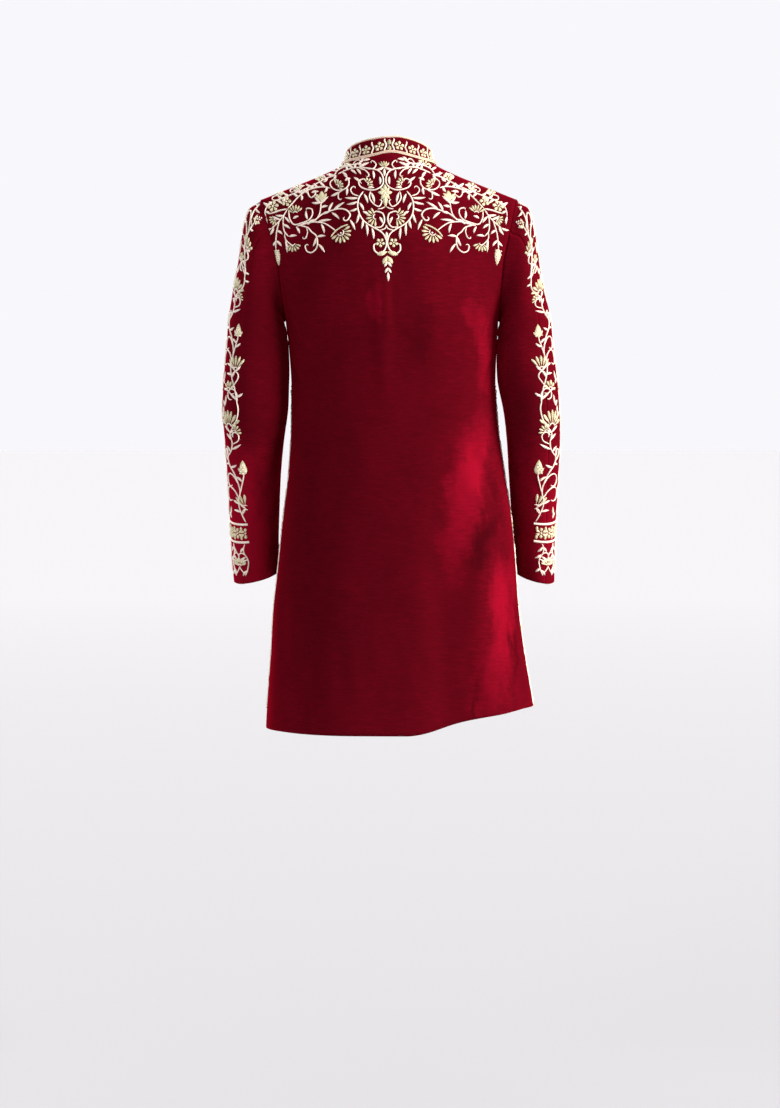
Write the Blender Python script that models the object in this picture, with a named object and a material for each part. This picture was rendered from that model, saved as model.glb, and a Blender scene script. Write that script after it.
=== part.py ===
"""A sherwani coat as it hangs on a wearer: hollow body, set-in two-piece sleeves, stand collar.

Metres, +Z up. The origin is the middle of the neck opening, at the height where the collar
meets the shoulder seams. The front faces -Y, so the wearer's left is +X. Every panel is a
closed wall of cloth, cut from one smooth form: rings below the armpit, and above it curves
that rise from the armpit ring and roll over to the neck edge and the shoulder seams.
"""

import functools
import math
from collections import namedtuple

import bmesh
import bpy
from mathutils import Matrix, Vector

# Cloth, seams and trims
WALL = 0.002                 # velvet on its backing
COLLAR_WALL = 0.003          # stiffened band
SEAM_GAP = 0.0003            # between two pieces of one seam
COLLAR_GAP = 0.0011          # between the band and the neck edge
ARMHOLE_GAP = 0.0017         # the sleeve's edge stands this far out from the armhole's
LAP_STEP = WALL + 0.0006     # how far the under front lies behind the upper one
CLEARANCE = 0.0026           # between a sleeve and the body that it lies against

# Body: levels and rings
ARMPIT_Z = -0.255
HEM_Z = -0.945
HEM_LIFT = 0.037             # the hem rides up by this much at the wearer's right side
HEM_LIFT_START = -0.05       # and begins to, this share of the half width from the middle (left is positive)
RING_POWER = 2.35            # 2 is an ellipse; more is squarer
SIDE_SEAM_DEG = 84.0         # from the middle of the back; the seam lies a little behind the side
SEAM_EASE = 0.12             # below the armpit, the height in which the seam gets there
Ring = namedtuple("Ring", "z half_width shift back front")
BODY = (
    # half_width and shift place the side seams; back and front are depths from them
    Ring(-0.960, 0.2310, -0.0210, 0.158, 0.150),
    Ring(-0.897, 0.2255, -0.0185, 0.152, 0.146),
    Ring(-0.821, 0.2160, -0.0150, 0.146, 0.141),
    Ring(-0.744, 0.2085, -0.0120, 0.141, 0.136),
    Ring(-0.668, 0.2015, -0.0135, 0.136, 0.131),
    Ring(-0.591, 0.1940, -0.0140, 0.128, 0.127),
    Ring(-0.515, 0.1835, -0.0130, 0.116, 0.124),
    Ring(-0.438, 0.1755, -0.0100, 0.108, 0.122),
    Ring(-0.362, 0.1730, -0.0075, 0.110, 0.123),
    Ring(-0.294, 0.1765, -0.0065, 0.119, 0.126),
    Ring(ARMPIT_Z, 0.1800, -0.0050, 0.124, 0.127),
)

# Soft folds, as outward swells of the body's cloth (negative depth is a hollow)
Fold = namedtuple("Fold", "angle_deg width_deg top_z bottom_z depth")
FOLDS = (
    # angle from the middle of the back, positive towards the wearer's left
    Fold(8.0, 7.0, -0.120, -0.420, 0.0035),
    Fold(-30.0, 11.0, -0.500, -1.100, -0.0060),
    Fold(-52.0, 10.0, -0.430, -1.100, 0.0090),
    Fold(-72.0, 8.0, -0.640, -1.100, -0.0050),
    Fold(38.0, 14.0, -0.560, -1.100, 0.0050),
    Fold(66.0, 10.0, -0.600, -1.100, -0.0040),
    Fold(122.0, 13.0, -0.520, -1.100, 0.0070),
    Fold(150.0, 11.0, -0.560, -1.100, -0.0050),
    Fold(-124.0, 12.0, -0.520, -1.100, 0.0070),
    Fold(-152.0, 10.0, -0.560, -1.100, -0.0050),
)

# Neck, shoulders and armholes
NECK_HALF = 0.077            # the neck opening, seen from above, is two half ellipses
NECK_BACK_DEPTH, NECK_FRONT_DEPTH = 0.070, 0.083
NECK_SIDE_Y, NECK_SIDE_Z = -0.002, 0.004
NECK_RISE, NECK_RISE_WIDTH = 0.024, 0.060   # how the shoulder line would go on rising inside the neck
SHOULDER_X, SHOULDER_Y = 0.215, -0.008
SHOULDER_FALL = 0.39         # slope of the shoulder seam
SHOULDER_SOFT = 0.025        # how roundly the two slopes meet
NECK_DEG = 40.0              # columns nearer the middle than this end on the neck edge
ARMHOLE_DEG = 70.0           # the column that ends on the shoulder point
ARMHOLE_ROUND = 0.34         # share of the rise in which the armhole's foot rounds out
SHOULDER_BUNCH = 1.4         # columns stand closer together next to the neck
SHOULDER_BEYOND = 0.12       # how far past the shoulder point the outermost columns aim
BACK_ROLL, FRONT_ROLL_MIDDLE, FRONT_ROLL_SIDE = 2.6, 1.75, 2.5   # how squarely the cloth rolls over

# Front closing: the wearer's left front laps over the right
LAP_HALF = 0.018
LAP_BLEND = 0.030
BUTTONS = 7
BUTTON_RADIUS, BUTTON_RISE = 0.009, 0.0055
BUTTON_TOP_Z, BUTTON_PITCH = -0.090, 0.078
BUTTON_STAND = 0.0006        # its back stands this far off the cloth
BUTTON_SIDES = 16

# Collar band and its two rolled cords
CollarHeight = namedtuple("CollarHeight", "turn height")
COLLAR_HEIGHTS = (
    # turn: 0 at the middle of the back, 0.5 at the side, 1 at the middle of the front
    CollarHeight(0.0, 0.0274),
    CollarHeight(0.1, 0.0292),
    CollarHeight(0.2, 0.0294),
    CollarHeight(0.3, 0.0280),
    CollarHeight(0.4, 0.0256),
    CollarHeight(0.5, 0.0240),
    CollarHeight(0.6, 0.0236),
    CollarHeight(1.0, 0.0236),
)
COLLAR_LEAN, COLLAR_FORWARD = 0.24, 0.14   # inward and forward for each unit up
COLLAR_END_GAP = 0.008       # between the two ends, at the middle of the front
COLLAR_ROUND = 0.020         # length over which each end rounds off
COLLAR_END_SHARE = 0.45      # height of the very end, as a share of the band's
TOP_CORD, BASE_CORD = 0.0016, 0.0022   # radii

# Sleeves: outline seen from behind, for each side, and depth. z_outer and z_inner differ
# where the section is tipped, as round the sleeve's head.
Sleeve = namedtuple("Sleeve", "z_outer z_inner left_out left_in right_out right_in half_depth mid_y")
SLEEVE = (
    Sleeve(-0.0610, -0.2575, 0.2345, 0.1775, 0.2345, 0.1875, 0.0610, -0.004),
    Sleeve(-0.1000, -0.2600, 0.2445, 0.1785, 0.2435, 0.1885, 0.0645, -0.003),
    Sleeve(-0.1500, -0.2630, 0.2520, 0.1780, 0.2510, 0.1880, 0.0670, -0.001),
    Sleeve(-0.2000, -0.2680, 0.2610, 0.1740, 0.2590, 0.1850, 0.0680, 0.001),
    Sleeve(-0.2500, -0.2850, 0.2690, 0.1700, 0.2710, 0.1820, 0.0680, 0.003),
    Sleeve(-0.3100, -0.3180, 0.2740, 0.1680, 0.2770, 0.1810, 0.0660, 0.005),
    Sleeve(-0.3620, -0.3620, 0.2785, 0.1710, 0.2835, 0.1865, 0.0630, 0.006),
    Sleeve(-0.4100, -0.4080, 0.2800, 0.1730, 0.2870, 0.1960, 0.0590, 0.005),
    Sleeve(-0.4600, -0.4560, 0.2765, 0.1800, 0.2885, 0.2020, 0.0550, -0.002),
    Sleeve(-0.5200, -0.5140, 0.2730, 0.1860, 0.2865, 0.2060, 0.0510, -0.014),
    Sleeve(-0.5900, -0.5800, 0.2705, 0.1895, 0.2840, 0.2110, 0.0470, -0.032),
    Sleeve(-0.6500, -0.6360, 0.2680, 0.1915, 0.2825, 0.2150, 0.0450, -0.046),
    Sleeve(-0.6980, -0.6800, 0.2655, 0.1905, 0.2830, 0.2170, 0.0440, -0.057),
)
SLEEVE_POWER = 2.15
HIND_SEAM_DEG = 61.0         # from the sleeve's outer line round the back
FORE_SEAM_DEG = -112.0       # and round the front
ARMHOLE_DECAY = 3.0          # sections over which the armhole's own shape fades out

SEAM_HALF_TURN = SEAM_GAP / 2 / 0.15     # half a seam's gap as an angle, round the body

# How finely the cloth is cut, in grid cells
BACK_COLUMNS, FRONT_COLUMNS, BODY_ROWS = 28, 16, 27
FRONT_NECK_SHARE = 10 / 16   # share of a front's columns that run to the neck edge
LOWER_SHARE = 17 / 27        # share of the body's rows that lie below the armpit
TOP_SLEEVE_COLUMNS, UNDER_SLEEVE_COLUMNS, SLEEVE_ROWS = 11, 10, 20
COLLAR_COLUMNS, COLLAR_END_COLUMNS, COLLAR_ROWS = 48, 4, 3
CORD_COLUMNS = 48

MATERIALS = {
    # name: (colour, roughness, metallic)
    "velvet": ((0.23, 0.008, 0.022, 1), 0.85, 0.0),
    "gold_cord": ((0.72, 0.52, 0.26, 1), 0.42, 0.6),
    "gold_button": ((0.78, 0.57, 0.25, 1), 0.30, 0.9),
}


def smooth(share):
    """0 to 1 with level ends."""
    share = min(1.0, max(0.0, share))
    return share * share * (3 - 2 * share)


def blend(low, high, share):
    return low + (high - low) * share


def eased_row(rows, position):
    """The table row at a position counted in rows, on a smooth curve through all of them."""
    i = min(len(rows) - 2, max(0, int(position)))
    t = position - i
    before, after = rows[max(0, i - 1)], rows[min(len(rows) - 1, i + 2)]
    values = []
    for a, b, c, d in zip(before, rows[i], rows[i + 1], after):
        leave, arrive = (c - a) / 2, (d - b) / 2
        values.append(b + t * (leave + t * (3 * (c - b) - 2 * leave - arrive
                                            + t * (2 * (b - c) + leave + arrive))))
    return type(rows[0])(*values)


def ring_at(z):
    """The body's ring at a height, eased between the rows of its table."""
    low, high = 0, len(BODY) - 1
    for i in range(len(BODY) - 1):
        if BODY[i].z <= z:
            low = i
    if z >= BODY[high].z:
        return BODY[high]
    share = (z - BODY[low].z) / (BODY[low + 1].z - BODY[low].z)
    return eased_row(BODY, low + max(0.0, share))


def swell(angle, z):
    """How far the soft folds push the cloth out at an angle and height."""
    total = 0.0
    for fold in FOLDS:
        away = math.degrees(angle) - fold.angle_deg
        away = (away + 180) % 360 - 180
        across = math.exp(-((away / fold.width_deg) ** 2))
        down = (fold.top_z - z) / (fold.top_z - fold.bottom_z)
        if 0 < down < 1:
            rise = smooth(down * 2.5)
            fade = 1.0 if fold.bottom_z < HEM_Z else smooth((1 - down) * 2.5)
            total += fold.depth * across * rise * fade
    return total


def on_ring(angle, z):
    """A point of the body below the armpit. Angle 0 is the middle of the back, +90 degrees the left side."""
    ring = ring_at(z)
    across, along = math.sin(angle), math.cos(angle)
    depth = ring.back if along > 0 else ring.front
    radius = ((abs(across) / ring.half_width) ** RING_POWER + (abs(along) / depth) ** RING_POWER) ** (-1 / RING_POWER)
    radius += swell(angle, z)
    return Vector((ring.shift + radius * across, radius * along, z))


def shoulder_line(degrees):
    """Where a column would end on top of the shoulder, or inside the neck opening."""
    if degrees <= NECK_DEG:
        x = NECK_HALF * math.sin(degrees / NECK_DEG * math.pi / 2)
    else:
        out = ((degrees - NECK_DEG) / (ARMHOLE_DEG - NECK_DEG)) ** SHOULDER_BUNCH
        if out > 1:
            out = 1 + SHOULDER_BEYOND * (1 - math.exp((1 - out) / SHOULDER_BEYOND))
        x = blend(NECK_HALF, SHOULDER_X, out)
    rounded = math.hypot(x, SHOULDER_SOFT)
    y = NECK_SIDE_Y + (SHOULDER_Y - NECK_SIDE_Y) * (x / SHOULDER_X) ** 2
    z = NECK_SIDE_Z - SHOULDER_FALL * (rounded - NECK_HALF)
    return Vector((x, y, z + NECK_RISE * math.exp(-((x / NECK_RISE_WIDTH) ** 2))))


def on_roll(angle, psi, front):
    """A point above the armpit. psi turns from 0 at the armpit to 90 degrees on the shoulder line."""
    side, degrees = math.copysign(1, angle), abs(math.degrees(angle))
    ring_angle = math.pi - angle if front else angle
    start, end = on_ring(ring_angle, ARMPIT_Z), shoulder_line(degrees)
    power = blend(FRONT_ROLL_MIDDLE, FRONT_ROLL_SIDE, smooth(degrees / ARMHOLE_DEG)) if front else BACK_ROLL
    c, s = max(0.0, math.cos(psi)), math.sin(psi)
    radius = (c ** power + s ** power) ** (-1 / power)
    level, up = radius * c, radius * s
    z = blend(start.z, end.z, up)
    push = (swell(ring_angle, z) - swell(ring_angle, ARMPIT_Z)) * (-1 if front else 1)
    gap = SEAM_GAP * (-0.6 if front else 0.6)
    return Vector((blend(start.x, side * end.x, up), blend(end.y + gap, start.y, level) + push, z))


@functools.lru_cache(maxsize=None)
def last_psi(angle, front):
    """Where a column ends: on the shoulder line, or short of it where it meets the neck edge."""
    if abs(math.degrees(angle)) >= NECK_DEG:
        return math.pi / 2
    depth = NECK_FRONT_DEPTH if front else NECK_BACK_DEPTH
    low, high = 0.0, math.pi / 2
    for _ in range(24):
        middle = (low + high) / 2
        place = on_roll(angle, middle, front)
        if (place.x / NECK_HALF) ** 2 + ((place.y - NECK_SIDE_Y) / depth) ** 2 > 1:
            low = middle
        else:
            high = middle
    return low


def on_yoke(angle, rise, front):
    """A point above the armpit. angle is from the middle of this half, rise from 0 to 1 at the top edge."""
    return on_roll(angle, rise * last_psi(angle, front), front)


def hem_z(angle):
    """The hem's height: level, but for the wearer's right side, where it rides up."""
    return HEM_Z + HEM_LIFT * smooth((HEM_LIFT_START - math.sin(angle)) / (HEM_LIFT_START + 1))


def on_body(angle, level, front):
    """The body's outer face. level runs from -1 at the hem through 0 at the armpit to 1 at the top edge."""
    if level >= 0:
        return on_yoke(angle, level, front)
    ring_angle = math.pi - angle if front else angle
    return on_ring(ring_angle, ARMPIT_Z + (ARMPIT_Z - hem_z(ring_angle)) * level)


def body_level(share):
    """Rows to levels: even below the armpit, and closer together where the armhole rounds out."""
    if share < LOWER_SHARE:
        return share / LOWER_SHARE - 1
    return ((share - LOWER_SHARE) / (1 - LOWER_SHARE)) ** 1.25


def side_angle(level, front):
    """The angle at which a panel ends: the side seam below the armpit, the armhole's edge above."""
    if level >= 0:
        low = min(1.0, level / ARMHOLE_ROUND)
        rounding = 1 - math.sqrt(max(0.0, 1 - (1 - low) ** 2))
        degrees = blend(ARMHOLE_DEG, 90.0, rounding)
    else:
        depth = (ARMPIT_Z - HEM_Z) * -level
        degrees = blend(90.0, SIDE_SEAM_DEG, smooth(depth / SEAM_EASE))
        degrees = 180.0 - degrees if front else degrees
    return math.radians(degrees) - SEAM_HALF_TURN


def lap_angle(level):
    """How far past the middle of the front a front panel runs, for a straight lap."""
    if level < 0:
        z = ARMPIT_Z + (ARMPIT_Z - HEM_Z) * level
        return math.atan(LAP_HALF / ring_at(z).front)
    at_ring = math.atan(LAP_HALF / BODY[-1].front)
    at_neck = math.radians(NECK_DEG) * math.asin(LAP_HALF / NECK_HALF) / (math.pi / 2)
    return blend(at_ring, at_neck, level)


def outward(surface, u, v):
    """The unit normal of a surface at (u, v), on the side from which u runs anticlockwise."""
    step = 1e-3
    low_u, high_u = max(0.0, u - step), min(1.0, u + step)
    low_v, high_v = max(0.0, v - step), min(1.0, v + step)
    along_u = surface(high_u, v) - surface(low_u, v)
    along_v = surface(u, high_v) - surface(u, low_v)
    return along_u.cross(along_v).normalized()


def back_face(u, v):
    level = body_level(v)
    angle = blend(1, -1, u) * side_angle(level, False)
    return on_body(angle, level, False)


def front_angle(share, level):
    """From the lap's edge at 0 to the side at 1, with one column on the neck's corner."""
    side = side_angle(level, True)
    corner = side * NECK_DEG / ARMHOLE_DEG
    if share < FRONT_NECK_SHARE:
        return blend(-lap_angle(level), corner, share / FRONT_NECK_SHARE)
    return blend(corner, side, (share - FRONT_NECK_SHARE) / (1 - FRONT_NECK_SHARE))


def left_front_face(u, v):
    """From the lap's edge, past the middle, round to the wearer's left side."""
    level = body_level(v)
    return on_body(front_angle(u, level), level, True)


def right_front_face(u, v):
    """From the wearer's right side to under the left front, where the cloth steps back."""
    level = body_level(v)
    angle = -front_angle(1 - u, level)
    place = on_body(angle, level, True)
    edge = on_body(-lap_angle(level), level, True)
    under = smooth((place.x - edge.x + LAP_BLEND) / (LAP_BLEND - 0.003))
    if under == 0:
        return place
    step = 0.002
    across = on_body(angle + step, level, True) - on_body(angle - step, level, True)
    high = min(1.0, level + step)
    upward = on_body(angle, high, True) - on_body(angle, high - 2 * step, True)
    return place - across.cross(upward).normalized() * LAP_STEP * under


def armhole(side):
    """The armhole's edge as points: from the shoulder down the back to the armpit, and up the front."""
    steps = 60
    back = [on_yoke(side * side_angle(1 - i / steps, False), 1 - i / steps, False) for i in range(steps)]
    front = [on_yoke(side * side_angle(i / steps, True), i / steps, True) for i in range(1, steps + 1)]
    armpit = on_yoke(side * math.radians(90), 0.0, False)
    return back + [armpit], [armpit] + front


def along(points, share):
    """The point at a share of a polyline's length."""
    lengths = [0.0]
    for a, b in zip(points, points[1:]):
        lengths.append(lengths[-1] + (b - a).length)
    want = share * lengths[-1]
    for i in range(len(points) - 1):
        if want <= lengths[i + 1] or i == len(points) - 2:
            return points[i].lerp(points[i + 1], (want - lengths[i]) / (lengths[i + 1] - lengths[i]))


def clear_of_body(place, side):
    """The place, moved sideways if needed so that it stays just clear of the body below the armpit."""
    ring = ring_at(min(place.z, ARMPIT_Z))
    depth = ring.back if place.y > 0 else ring.front
    inside = 1 - min(1.0, abs(place.y) / depth) ** RING_POWER
    edge = ring.half_width * inside ** (1 / RING_POWER)
    swollen = swell(side * math.pi / 2 * (1 if place.y < 0 else 0.85), place.z)
    least = edge + side * ring.shift + CLEARANCE + max(0.0, swollen)
    reach = side * place.x
    over = reach - least
    soft = 0.004
    if over < soft:
        reach = least + soft * math.exp((over - soft) / soft)
    return Vector((side * reach, place.y, place.z))


class SleeveForm:
    """One sleeve's lining side: sections down the arm, the first of them the armhole itself."""

    def __init__(self, side):
        self.side = side
        self.back, self.front = armhole(side)
        shoulder, armpit = self.back[0], self.back[-1]
        self.middle = (shoulder + armpit) / 2
        self.half = (shoulder - armpit) / 2
        rows = [(row.z_outer, row.z_inner, row.left_out if side > 0 else row.right_out,
                 row.left_in if side > 0 else row.right_in, row.half_depth, row.mid_y) for row in SLEEVE]
        first = (shoulder.z, armpit.z, side * shoulder.x, side * armpit.x, 0.058, self.middle.y)
        self.rows = [SleeveRow(*row) for row in [first] + rows]

    def section(self, position, angle):
        """A point on the plain squared ellipse of a section. Angle 0 is its outer line, +90 degrees its back."""
        row = eased_row(self.rows, position)
        ahead = eased_row(self.rows, min(len(self.rows) - 1.0, position + 0.5))
        behind = eased_row(self.rows, max(0.0, position - 0.5))
        outer = Vector((self.side * row.outer, row.mid_y, row.z_outer))
        inner = Vector((self.side * row.inner, row.mid_y, row.z_inner))
        fall = (behind.z_outer + behind.z_inner - ahead.z_outer - ahead.z_inner) / 2
        tip = (ahead.mid_y - behind.mid_y) / max(fall, 0.02)
        backward = Vector((0, 1, tip * smooth(position - 1))).normalized()
        c, s = math.cos(angle), math.sin(angle)
        radius = (abs(c) ** SLEEVE_POWER + abs(s) ** SLEEVE_POWER) ** (-1 / SLEEVE_POWER)
        return (outer + inner) / 2 + (outer - inner) / 2 * radius * c + backward * row.half_depth * radius * s

    def armhole_point(self, angle):
        turn = (angle / math.pi) % 2
        place = along(self.back, turn) if turn <= 1 else along(self.front, turn - 1)
        foot = (1 - math.cos(angle)) / 2
        return place + Vector((self.side * ARMHOLE_GAP, 0, SEAM_GAP * 2 * foot))

    def face(self, angle, down):
        """down runs from 0 at the armhole to 1 at the cuff."""
        position = down * (len(self.rows) - 1)
        place = self.section(position, angle)
        if position < ARMHOLE_DECAY:
            keep = 1 - smooth(position / ARMHOLE_DECAY)
            place += (self.armhole_point(angle) - self.section(0.0, angle)) * keep
        if position > 0 and place.z < ARMPIT_Z + 0.01:
            place = place.lerp(clear_of_body(place, self.side), smooth(position * 2))
        return place


SleeveRow = namedtuple("SleeveRow", "z_outer z_inner outer inner half_depth mid_y")
SEAM_HALF_ANGLE = SEAM_GAP / 2 / 0.03


def sleeve_panel(form, start_deg, end_deg):
    """The part of a sleeve between two seams. Its normals point into the arm, so the wall grows outwards."""
    start, end = math.radians(start_deg) + SEAM_HALF_ANGLE, math.radians(end_deg) - SEAM_HALF_ANGLE

    def face(u, v):
        share = u if form.side < 0 else 1 - u
        return form.face(blend(start, end, share), 1 - v)

    return face


def collar_base(turn):
    """The neck edge all round: turn 0 at the middle of the back, 1 and -1 at the middle of the front."""
    side, front = math.copysign(1, turn), abs(turn) > 0.5
    share = 2 - 2 * abs(turn) if front else 2 * abs(turn)
    return on_yoke(side * math.radians(NECK_DEG) * share, 1.0, front)


def away_from_neck(turn):
    base = collar_base(turn)
    return Vector((base.x, base.y - (NECK_BACK_DEPTH - NECK_FRONT_DEPTH) / 2 - NECK_SIDE_Y, 0)).normalized()


def collar_lean(turn):
    """The way the band rises: up, in towards the neck, and forward as the neck leans."""
    return (Vector((0, -COLLAR_FORWARD, 1)) - away_from_neck(turn) * COLLAR_LEAN).normalized()


END_TURN = 1 - COLLAR_END_GAP / 2 / (NECK_HALF * math.pi / 2) / 2


def collar_height(turn):
    """Full height, rounding down towards each end of the band."""
    left = (END_TURN - abs(turn)) * 2 * NECK_HALF * math.pi / 2
    share = min(1.0, max(0.0, left / COLLAR_ROUND))
    full = eased_row(COLLAR_HEIGHTS, min(6.0, abs(turn) * 10)).height
    return full * blend(COLLAR_END_SHARE, 1.0, math.sqrt(1 - (1 - share) ** 2))


def collar_turn(u):
    """Columns to turns: a few close together round each rounded end, the others even."""
    column = min(u, 1 - u) * COLLAR_COLUMNS
    rounded = COLLAR_ROUND / (NECK_HALF * math.pi)
    if column < COLLAR_END_COLUMNS:
        left = rounded * (1 - math.cos(column / COLLAR_END_COLUMNS * math.pi / 2))
    else:
        even = (column - COLLAR_END_COLUMNS) / (COLLAR_COLUMNS / 2 - COLLAR_END_COLUMNS)
        left = blend(rounded, END_TURN, even)
    return (END_TURN - left) * (1 if u < 0.5 else -1)


def on_band(turn, height):
    return collar_base(turn) + Vector((0, 0, COLLAR_GAP)) + collar_lean(turn) * height


def collar_face(u, v):
    turn = collar_turn(u)
    return on_band(turn, collar_height(turn) * v)


def new_object(name, data, material):
    obj = bpy.data.objects.new(name, data)
    data.materials.append(bpy.data.materials[material])
    bpy.context.scene.collection.objects.link(obj)
    return obj


def cloth_wall(name, surface, columns, rows, thickness=WALL, material="velvet"):
    """A closed wall: a grid laid on the surface, extruded against the surface's normals."""
    bm = bmesh.new()
    bmesh.ops.create_grid(bm, x_segments=columns, y_segments=rows, size=0.5)
    faces = list(bm.faces)
    made = bmesh.ops.extrude_face_region(bm, geom=faces, use_keep_orig=True)
    inner = {v for v in made["geom"] if isinstance(v, bmesh.types.BMVert)}
    for vert in bm.verts:
        u, v = vert.co.x + 0.5, vert.co.y + 0.5
        place = surface(u, v)
        if vert in inner:
            place = place - outward(surface, u, v) * thickness
        vert.co = place
    bmesh.ops.recalc_face_normals(bm, faces=bm.faces)
    mesh = bpy.data.meshes.new(name)
    bm.to_mesh(mesh)
    bm.free()
    mesh.shade_smooth()
    mesh.set_sharp_from_angle(angle=math.radians(50))
    return new_object(name, mesh, material)


def rolled_cord(name, points, radius):
    """A round cord along the points, its ends capped."""
    curve = bpy.data.curves.new(name, "CURVE")
    curve.dimensions = "3D"
    curve.bevel_depth = radius
    curve.bevel_resolution = 1
    curve.use_fill_caps = True
    spline = curve.splines.new("POLY")
    spline.points.add(len(points) - 1)
    for slot, place in zip(spline.points, points):
        slot.co = (*place, 1)
    return new_object(name, curve, "gold_cord")


def top_cord_points():
    """Up one end of the band, round its corner, along its top edge and down the other end."""
    top = [(collar_turn(i / CORD_COLUMNS), 1.0) for i in range(CORD_COLUMNS + 1)]
    side = [(END_TURN, share) for share in (0.15, 0.4, 0.7)]
    edge = side + top + [(-turn, share) for turn, share in reversed(side)]
    stand_off = TOP_CORD + SEAM_GAP
    points = []
    for i, (turn, share) in enumerate(edge):
        before, after = edge[max(0, i - 1)], edge[min(len(edge) - 1, i + 1)]
        a, b = (on_band(t, collar_height(t) * h) for t, h in (before, after))
        out = away_from_neck(turn)
        beyond = out.cross(b - a).normalized()
        middle = on_band(turn, collar_height(turn) * share) - out * COLLAR_WALL / 2
        points.append(middle + beyond * stand_off)
    return points


def cloth_at_neck(turn):
    """The outward unit normal of the front's or back's cloth at the neck edge."""
    side, front, step = math.copysign(1, turn), abs(turn) > 0.5, 0.004
    share = 2 - 2 * abs(turn) if front else 2 * abs(turn)
    angle = side * math.radians(NECK_DEG) * min(share, 0.98)
    round_neck = on_body(angle + step, 1.0, front) - on_body(angle - step, 1.0, front)
    rise = on_body(angle, 1.0, front) - on_body(angle, 1 - step * 2, front)
    normal = round_neck.cross(rise).normalized()
    return normal if normal.z > 0 else -normal


def base_cord_points():
    """Along the foot of the band, in the corner between its outer face and the cloth."""
    stand_off = BASE_CORD + SEAM_GAP * 2.5
    points = []
    for i in range(CORD_COLUMNS + 1):
        turn = blend(END_TURN, -END_TURN, i / CORD_COLUMNS)
        out, lean, normal = away_from_neck(turn), collar_lean(turn), cloth_at_neck(turn)
        height = stand_off * (1 - normal.dot(out)) / normal.dot(lean)
        points.append(collar_base(turn) + out * stand_off + lean * max(height, BASE_CORD))
    return points


def front_level(z):
    """The level at which the middle of the front stands at a height."""
    low, high = -1.0, 1.0
    for _ in range(30):
        middle = (low + high) / 2
        if on_body(0.0, middle, True).z < z:
            low = middle
        else:
            high = middle
    return low


def button(name, z):
    """A domed button with a rolled rim, turned from its half section, standing on the left front."""
    level, step = front_level(z), 0.01
    place = on_body(0.0, level, True)
    rise = on_body(0.0, level + step, True) - on_body(0.0, level - step, True)
    normal = Vector((0, -rise.z, rise.y)).normalized()
    half_section = ((0, 0), (0.93, 0), (1.0, 0.22), (0.97, 0.42), (0.72, 0.80), (0.36, 0.97), (0, 1.0))
    bm = bmesh.new()
    ring = [bm.verts.new((x * BUTTON_RADIUS, 0, z * BUTTON_RISE)) for x, z in half_section]
    edges = [bm.edges.new(pair) for pair in zip(ring, ring[1:])]
    bmesh.ops.spin(bm, geom=ring + edges, cent=(0, 0, 0), axis=(0, 0, 1), angle=math.tau,
                   steps=BUTTON_SIDES, use_merge=True)
    bmesh.ops.remove_doubles(bm, verts=bm.verts, dist=1e-6)
    bmesh.ops.recalc_face_normals(bm, faces=bm.faces)
    mesh = bpy.data.meshes.new(name)
    bm.to_mesh(mesh)
    bm.free()
    mesh.shade_smooth()
    turned = normal.to_track_quat("Z", "Y").to_matrix().to_4x4()
    mesh.transform(Matrix.Translation(place + normal * BUTTON_STAND) @ turned)
    return new_object(name, mesh, "gold_button")


def main():
    for obj in list(bpy.data.objects):
        bpy.data.objects.remove(obj, do_unlink=True)
    for name, (colour, roughness, metallic) in MATERIALS.items():
        material = bpy.data.materials.new(name)
        material.use_nodes = True
        shader = material.node_tree.nodes["Principled BSDF"]
        shader.inputs["Base Color"].default_value = colour
        shader.inputs["Roughness"].default_value = roughness
        shader.inputs["Metallic"].default_value = metallic

    cloth_wall("back", back_face, BACK_COLUMNS, BODY_ROWS)
    cloth_wall("front_left", left_front_face, FRONT_COLUMNS, BODY_ROWS)
    cloth_wall("front_right", right_front_face, FRONT_COLUMNS, BODY_ROWS)
    for word, side in (("left", 1), ("right", -1)):
        form = SleeveForm(side)
        top = sleeve_panel(form, FORE_SEAM_DEG, HIND_SEAM_DEG)
        under = sleeve_panel(form, HIND_SEAM_DEG, FORE_SEAM_DEG + 360)
        cloth_wall(f"{word}_top_sleeve", top, TOP_SLEEVE_COLUMNS, SLEEVE_ROWS)
        cloth_wall(f"{word}_under_sleeve", under, UNDER_SLEEVE_COLUMNS, SLEEVE_ROWS)
    cloth_wall("collar", collar_face, COLLAR_COLUMNS, COLLAR_ROWS, COLLAR_WALL)
    rolled_cord("collar_top_cord", top_cord_points(), TOP_CORD)
    rolled_cord("collar_base_cord", base_cord_points(), BASE_CORD)
    for i in range(BUTTONS):
        button(f"button_{i + 1}", BUTTON_TOP_Z - i * BUTTON_PITCH)


main()
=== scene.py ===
"""Looks of the sherwani coat: velvet cloth with soft folds, laid-on cord work, collar cords and buttons.

Metres, +Z up, the wearer's front towards -Y. The cloth's form is worked out from the same
sizes as the solids, at a finer step and with the folds. The cord work is drawn in flat pattern
coordinates on each piece of cloth and then laid on it.
"""

import functools
import math
from collections import namedtuple

import bmesh
import bpy
import numpy as np
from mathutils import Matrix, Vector
from mathutils.bvhtree import BVHTree


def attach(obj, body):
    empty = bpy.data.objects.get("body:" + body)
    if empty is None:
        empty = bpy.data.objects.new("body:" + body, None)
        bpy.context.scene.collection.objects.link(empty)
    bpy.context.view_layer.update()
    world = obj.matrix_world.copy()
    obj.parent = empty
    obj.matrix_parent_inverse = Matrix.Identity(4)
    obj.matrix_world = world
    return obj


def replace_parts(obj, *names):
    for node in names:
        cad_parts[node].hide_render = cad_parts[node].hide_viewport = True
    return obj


def rows(kind, table):
    """A table's rows, with the names of their columns."""
    return tuple(kind(*row) for row in table)


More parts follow.
